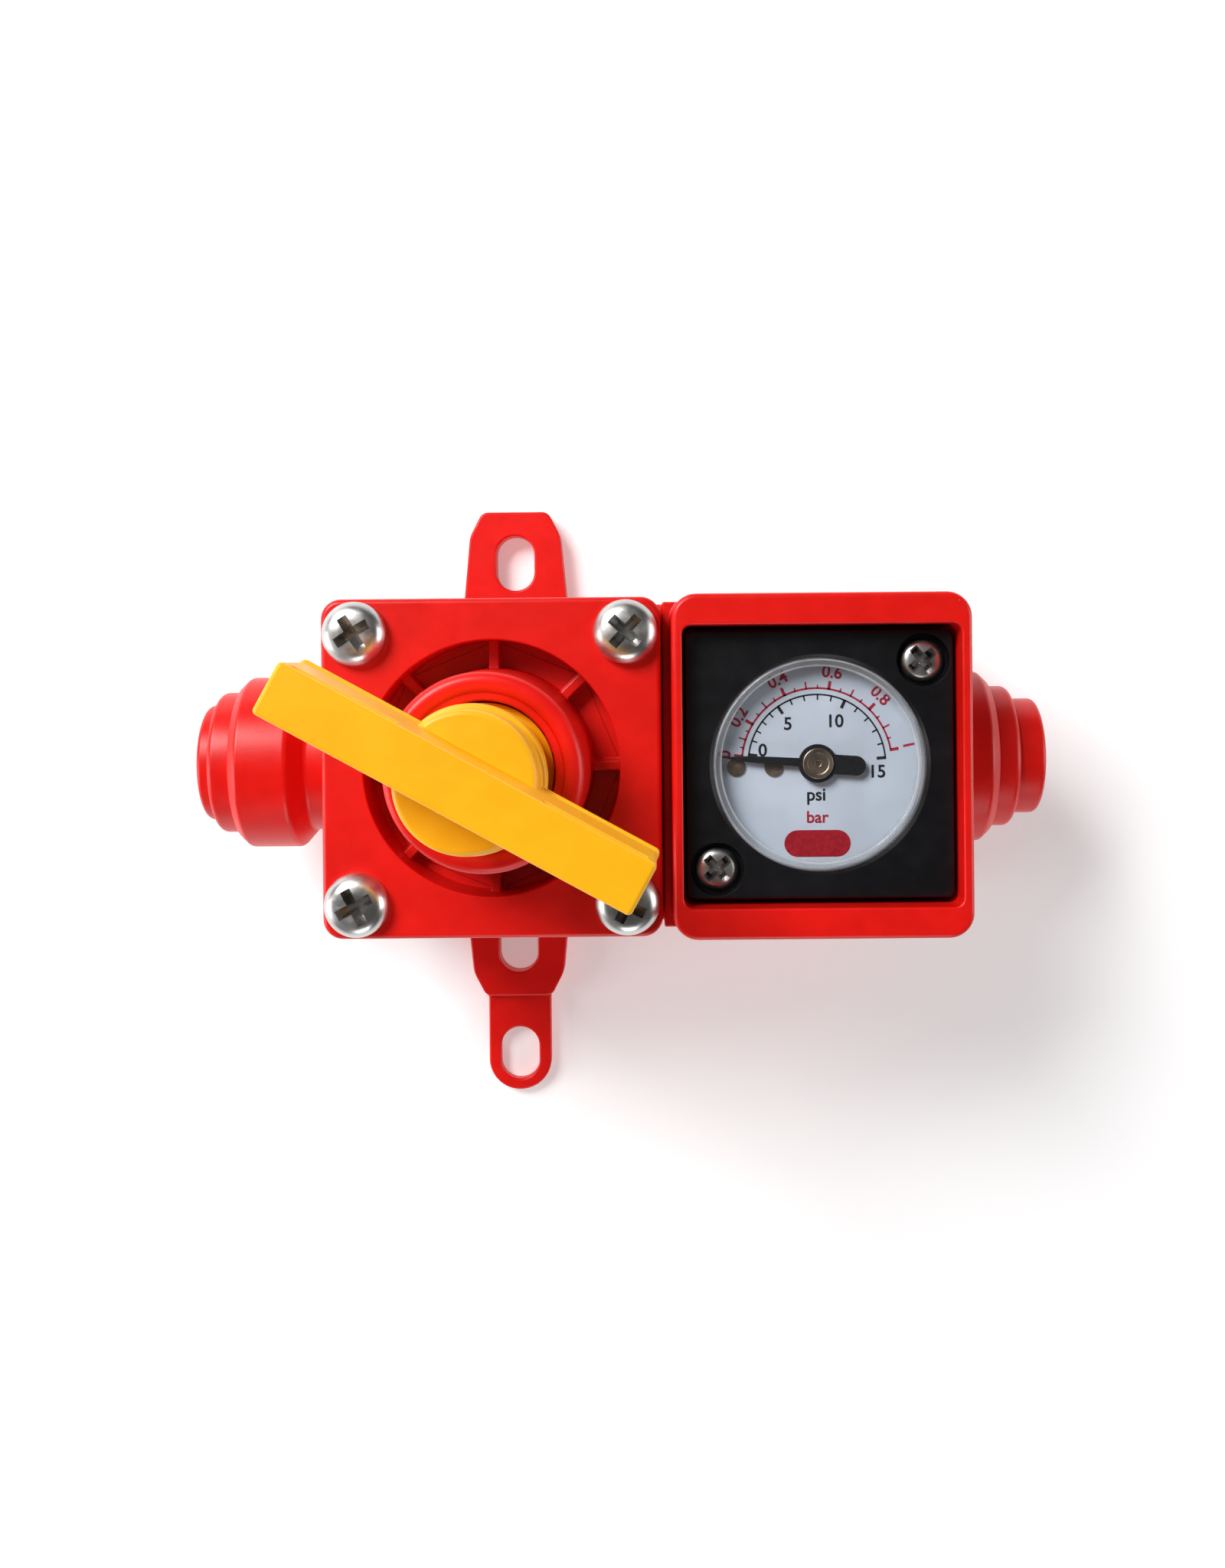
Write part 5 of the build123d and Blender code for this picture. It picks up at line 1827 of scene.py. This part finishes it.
    def build(self, paint: Paint) -> list[Item]:
        """Builds the gauge's front.

        Args:
            paint: what dresses it.

        Returns:
            The finished pieces.
        """
        box = Box.of("gauge_dial")
        low, high = box.low.z, box.high.z
        plate = Stock(rod(box.size.x / 2, low, high)).cut(rod(self.arbor_r, low - 1, high + 1))
        seat = Box.of("gauge_bezel").high.z - self.recess
        seats = zip(self.screw_turns, self.screw_places())
        heads = [self.screw.solid(turn, at, seat) for turn, at in seats]
        parts = [
            (self.bezel(), "gauge_front", "gauge_bezel", "black_plastic", "root"),
            (self.lens(), "gauge_window", "gauge_lens", "clear_window", "root"),
            (plate, "gauge_dial_plate", "gauge_dial", "dial_face", "root"),
            (self.pointer(), "gauge_needle", "gauge_pointer", "pointer_black", "pointer"),
            (self.cap(), "needle_cap", "pointer_cap", "brass", "pointer"),
            (Stock(merged(heads)), "gauge_fixings", "gauge_screws", "stainless", "root"),
        ]
        return [self.finished(paint, *part) for part in parts] + self.prints(paint)


@dataclass
class Studio:
    """Table top, lights, world and camera; places and sizes in metres, powers in watts."""

    aim_at: Triple = (0.015, 0.0, 0.02)
    table_reach: float = 3.0
    camera_at: Triple = (0.0156, 0.0085, 0.1867)
    camera_roll: float = -0.009
    lens_mm: float = 33.83
    shift: Point = (-0.0184, -0.0633)
    room: float = 0.07
    lights: tuple[tuple[str, Triple, float, float], ...] = (
        ("key", (-0.42, 0.46, 0.60), 0.36, 8.6),
        ("left", (-0.60, -0.12, 0.20), 0.3, 1.7),
        ("right", (0.62, 0.02, 0.20), 0.3, 1.5),
        ("front", (0.05, -0.62, 0.26), 0.3, 1.2),
    )

    def lamp(self, name: str, at: Triple, size: float, watts: float) -> None:
        """Adds a square area light that faces the object.

        Args:
            name: its name.
            at: its place.
            size: its side.
            watts: its power.
        """
        data = bpy.data.lights.new(name, "AREA")
        data.energy = watts
        data.size = size
        lamp = linked(name, data)
        lamp.location = at
        aim = Vector(self.aim_at) - Vector(at)
        lamp.rotation_euler = aim.to_track_quat("-Z", "Y").to_euler()

    def table(self) -> None:
        """Adds the table top."""
        bm = bmesh.new()
        bmesh.ops.create_grid(bm, x_segments=2, y_segments=2, size=self.table_reach)
        mesh = as_mesh(bm, "table_top")
        floor = linked("table_top", mesh)
        mesh.materials.append(PaleFloor("pale_floor").make())

    def world(self) -> None:
        """Adds a dim world for the light, which the camera sees as white."""
        world = bpy.data.worlds.new("soft_room")
        world.use_nodes = True
        nodes, links = world.node_tree.nodes, world.node_tree.links
        white = (1.0, 1.0, 1.0, 1.0)
        dim = nodes["Background"]
        dim.inputs["Color"].default_value = white
        dim.inputs["Strength"].default_value = self.room
        backdrop = nodes.new("ShaderNodeBackground")
        backdrop.inputs["Color"].default_value = white
        seen = nodes.new("ShaderNodeLightPath")
        mixed = nodes.new("ShaderNodeMixShader")
        wires = (
            (seen.outputs["Is Camera Ray"], mixed.inputs[0]),
            (dim.outputs[0], mixed.inputs[1]),
            (backdrop.outputs[0], mixed.inputs[2]),
            (mixed.outputs[0], nodes["World Output"].inputs["Surface"]),
        )
        for out, into in wires:
            links.new(out, into)
        bpy.context.scene.world = world
        bpy.context.scene.view_settings.view_transform = "Standard"

    def camera(self) -> None:
        """Adds the camera, which looks straight down on the front."""
        data = bpy.data.cameras.new("camera")
        data.lens = self.lens_mm
        data.sensor_width = 36.0
        data.sensor_fit = "AUTO"
        data.shift_x, data.shift_y = self.shift
        data.clip_start = 0.005
        camera = linked("camera", data)
        camera.location = self.camera_at
        camera.rotation_euler = (0, 0, self.camera_roll)
        bpy.context.scene.camera = camera

    def build(self) -> None:
        """Sets the stage."""
        self.table()
        for light in self.lights:
            self.lamp(*light)
        self.world()
        self.camera()


def dress_frame(paint: Paint) -> None:
    """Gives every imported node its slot's finish.

    Args:
        paint: what dresses them.
    """
    slots = {part["node"]: part["material_slot"] for part in frame["record"]["subparts"]}
    for node, piece in frame["nodes"].items():
        material = paint.get(slots[node])
        if not piece.data.materials:
            piece.data.materials.append(material)
        for index in range(len(piece.data.materials)):
            piece.data.materials[index] = material


def main() -> None:
    """Builds the regulator's sub-assemblies in order and reports them."""
    logging.basicConfig(level=logging.INFO, format="%(name)s: %(message)s")
    paint = Paint()
    Studio().build()
    dress_frame(paint)
    springs = [
        Coil("range_spring", "main_spring", 0.7, 6, "seat_slide", 0.64),
        Coil("poppet_spring", "valve_spring", 0.25, 4, "poppet_slide", 0.89),
    ]
    fittings = [PushFitting(side) for side in Side]
    makers = [ValveBody(), Bonnet(), Knob(), *fittings, Bracket(), Gauge(), *springs]
    for maker in makers:
        made = maker.build(paint)
        for piece in made if isinstance(made, list) else [made]:
            LOG.info("%s has %d faces", piece.name, len(piece.data.polygons))


if __name__ == "__main__":
    main()
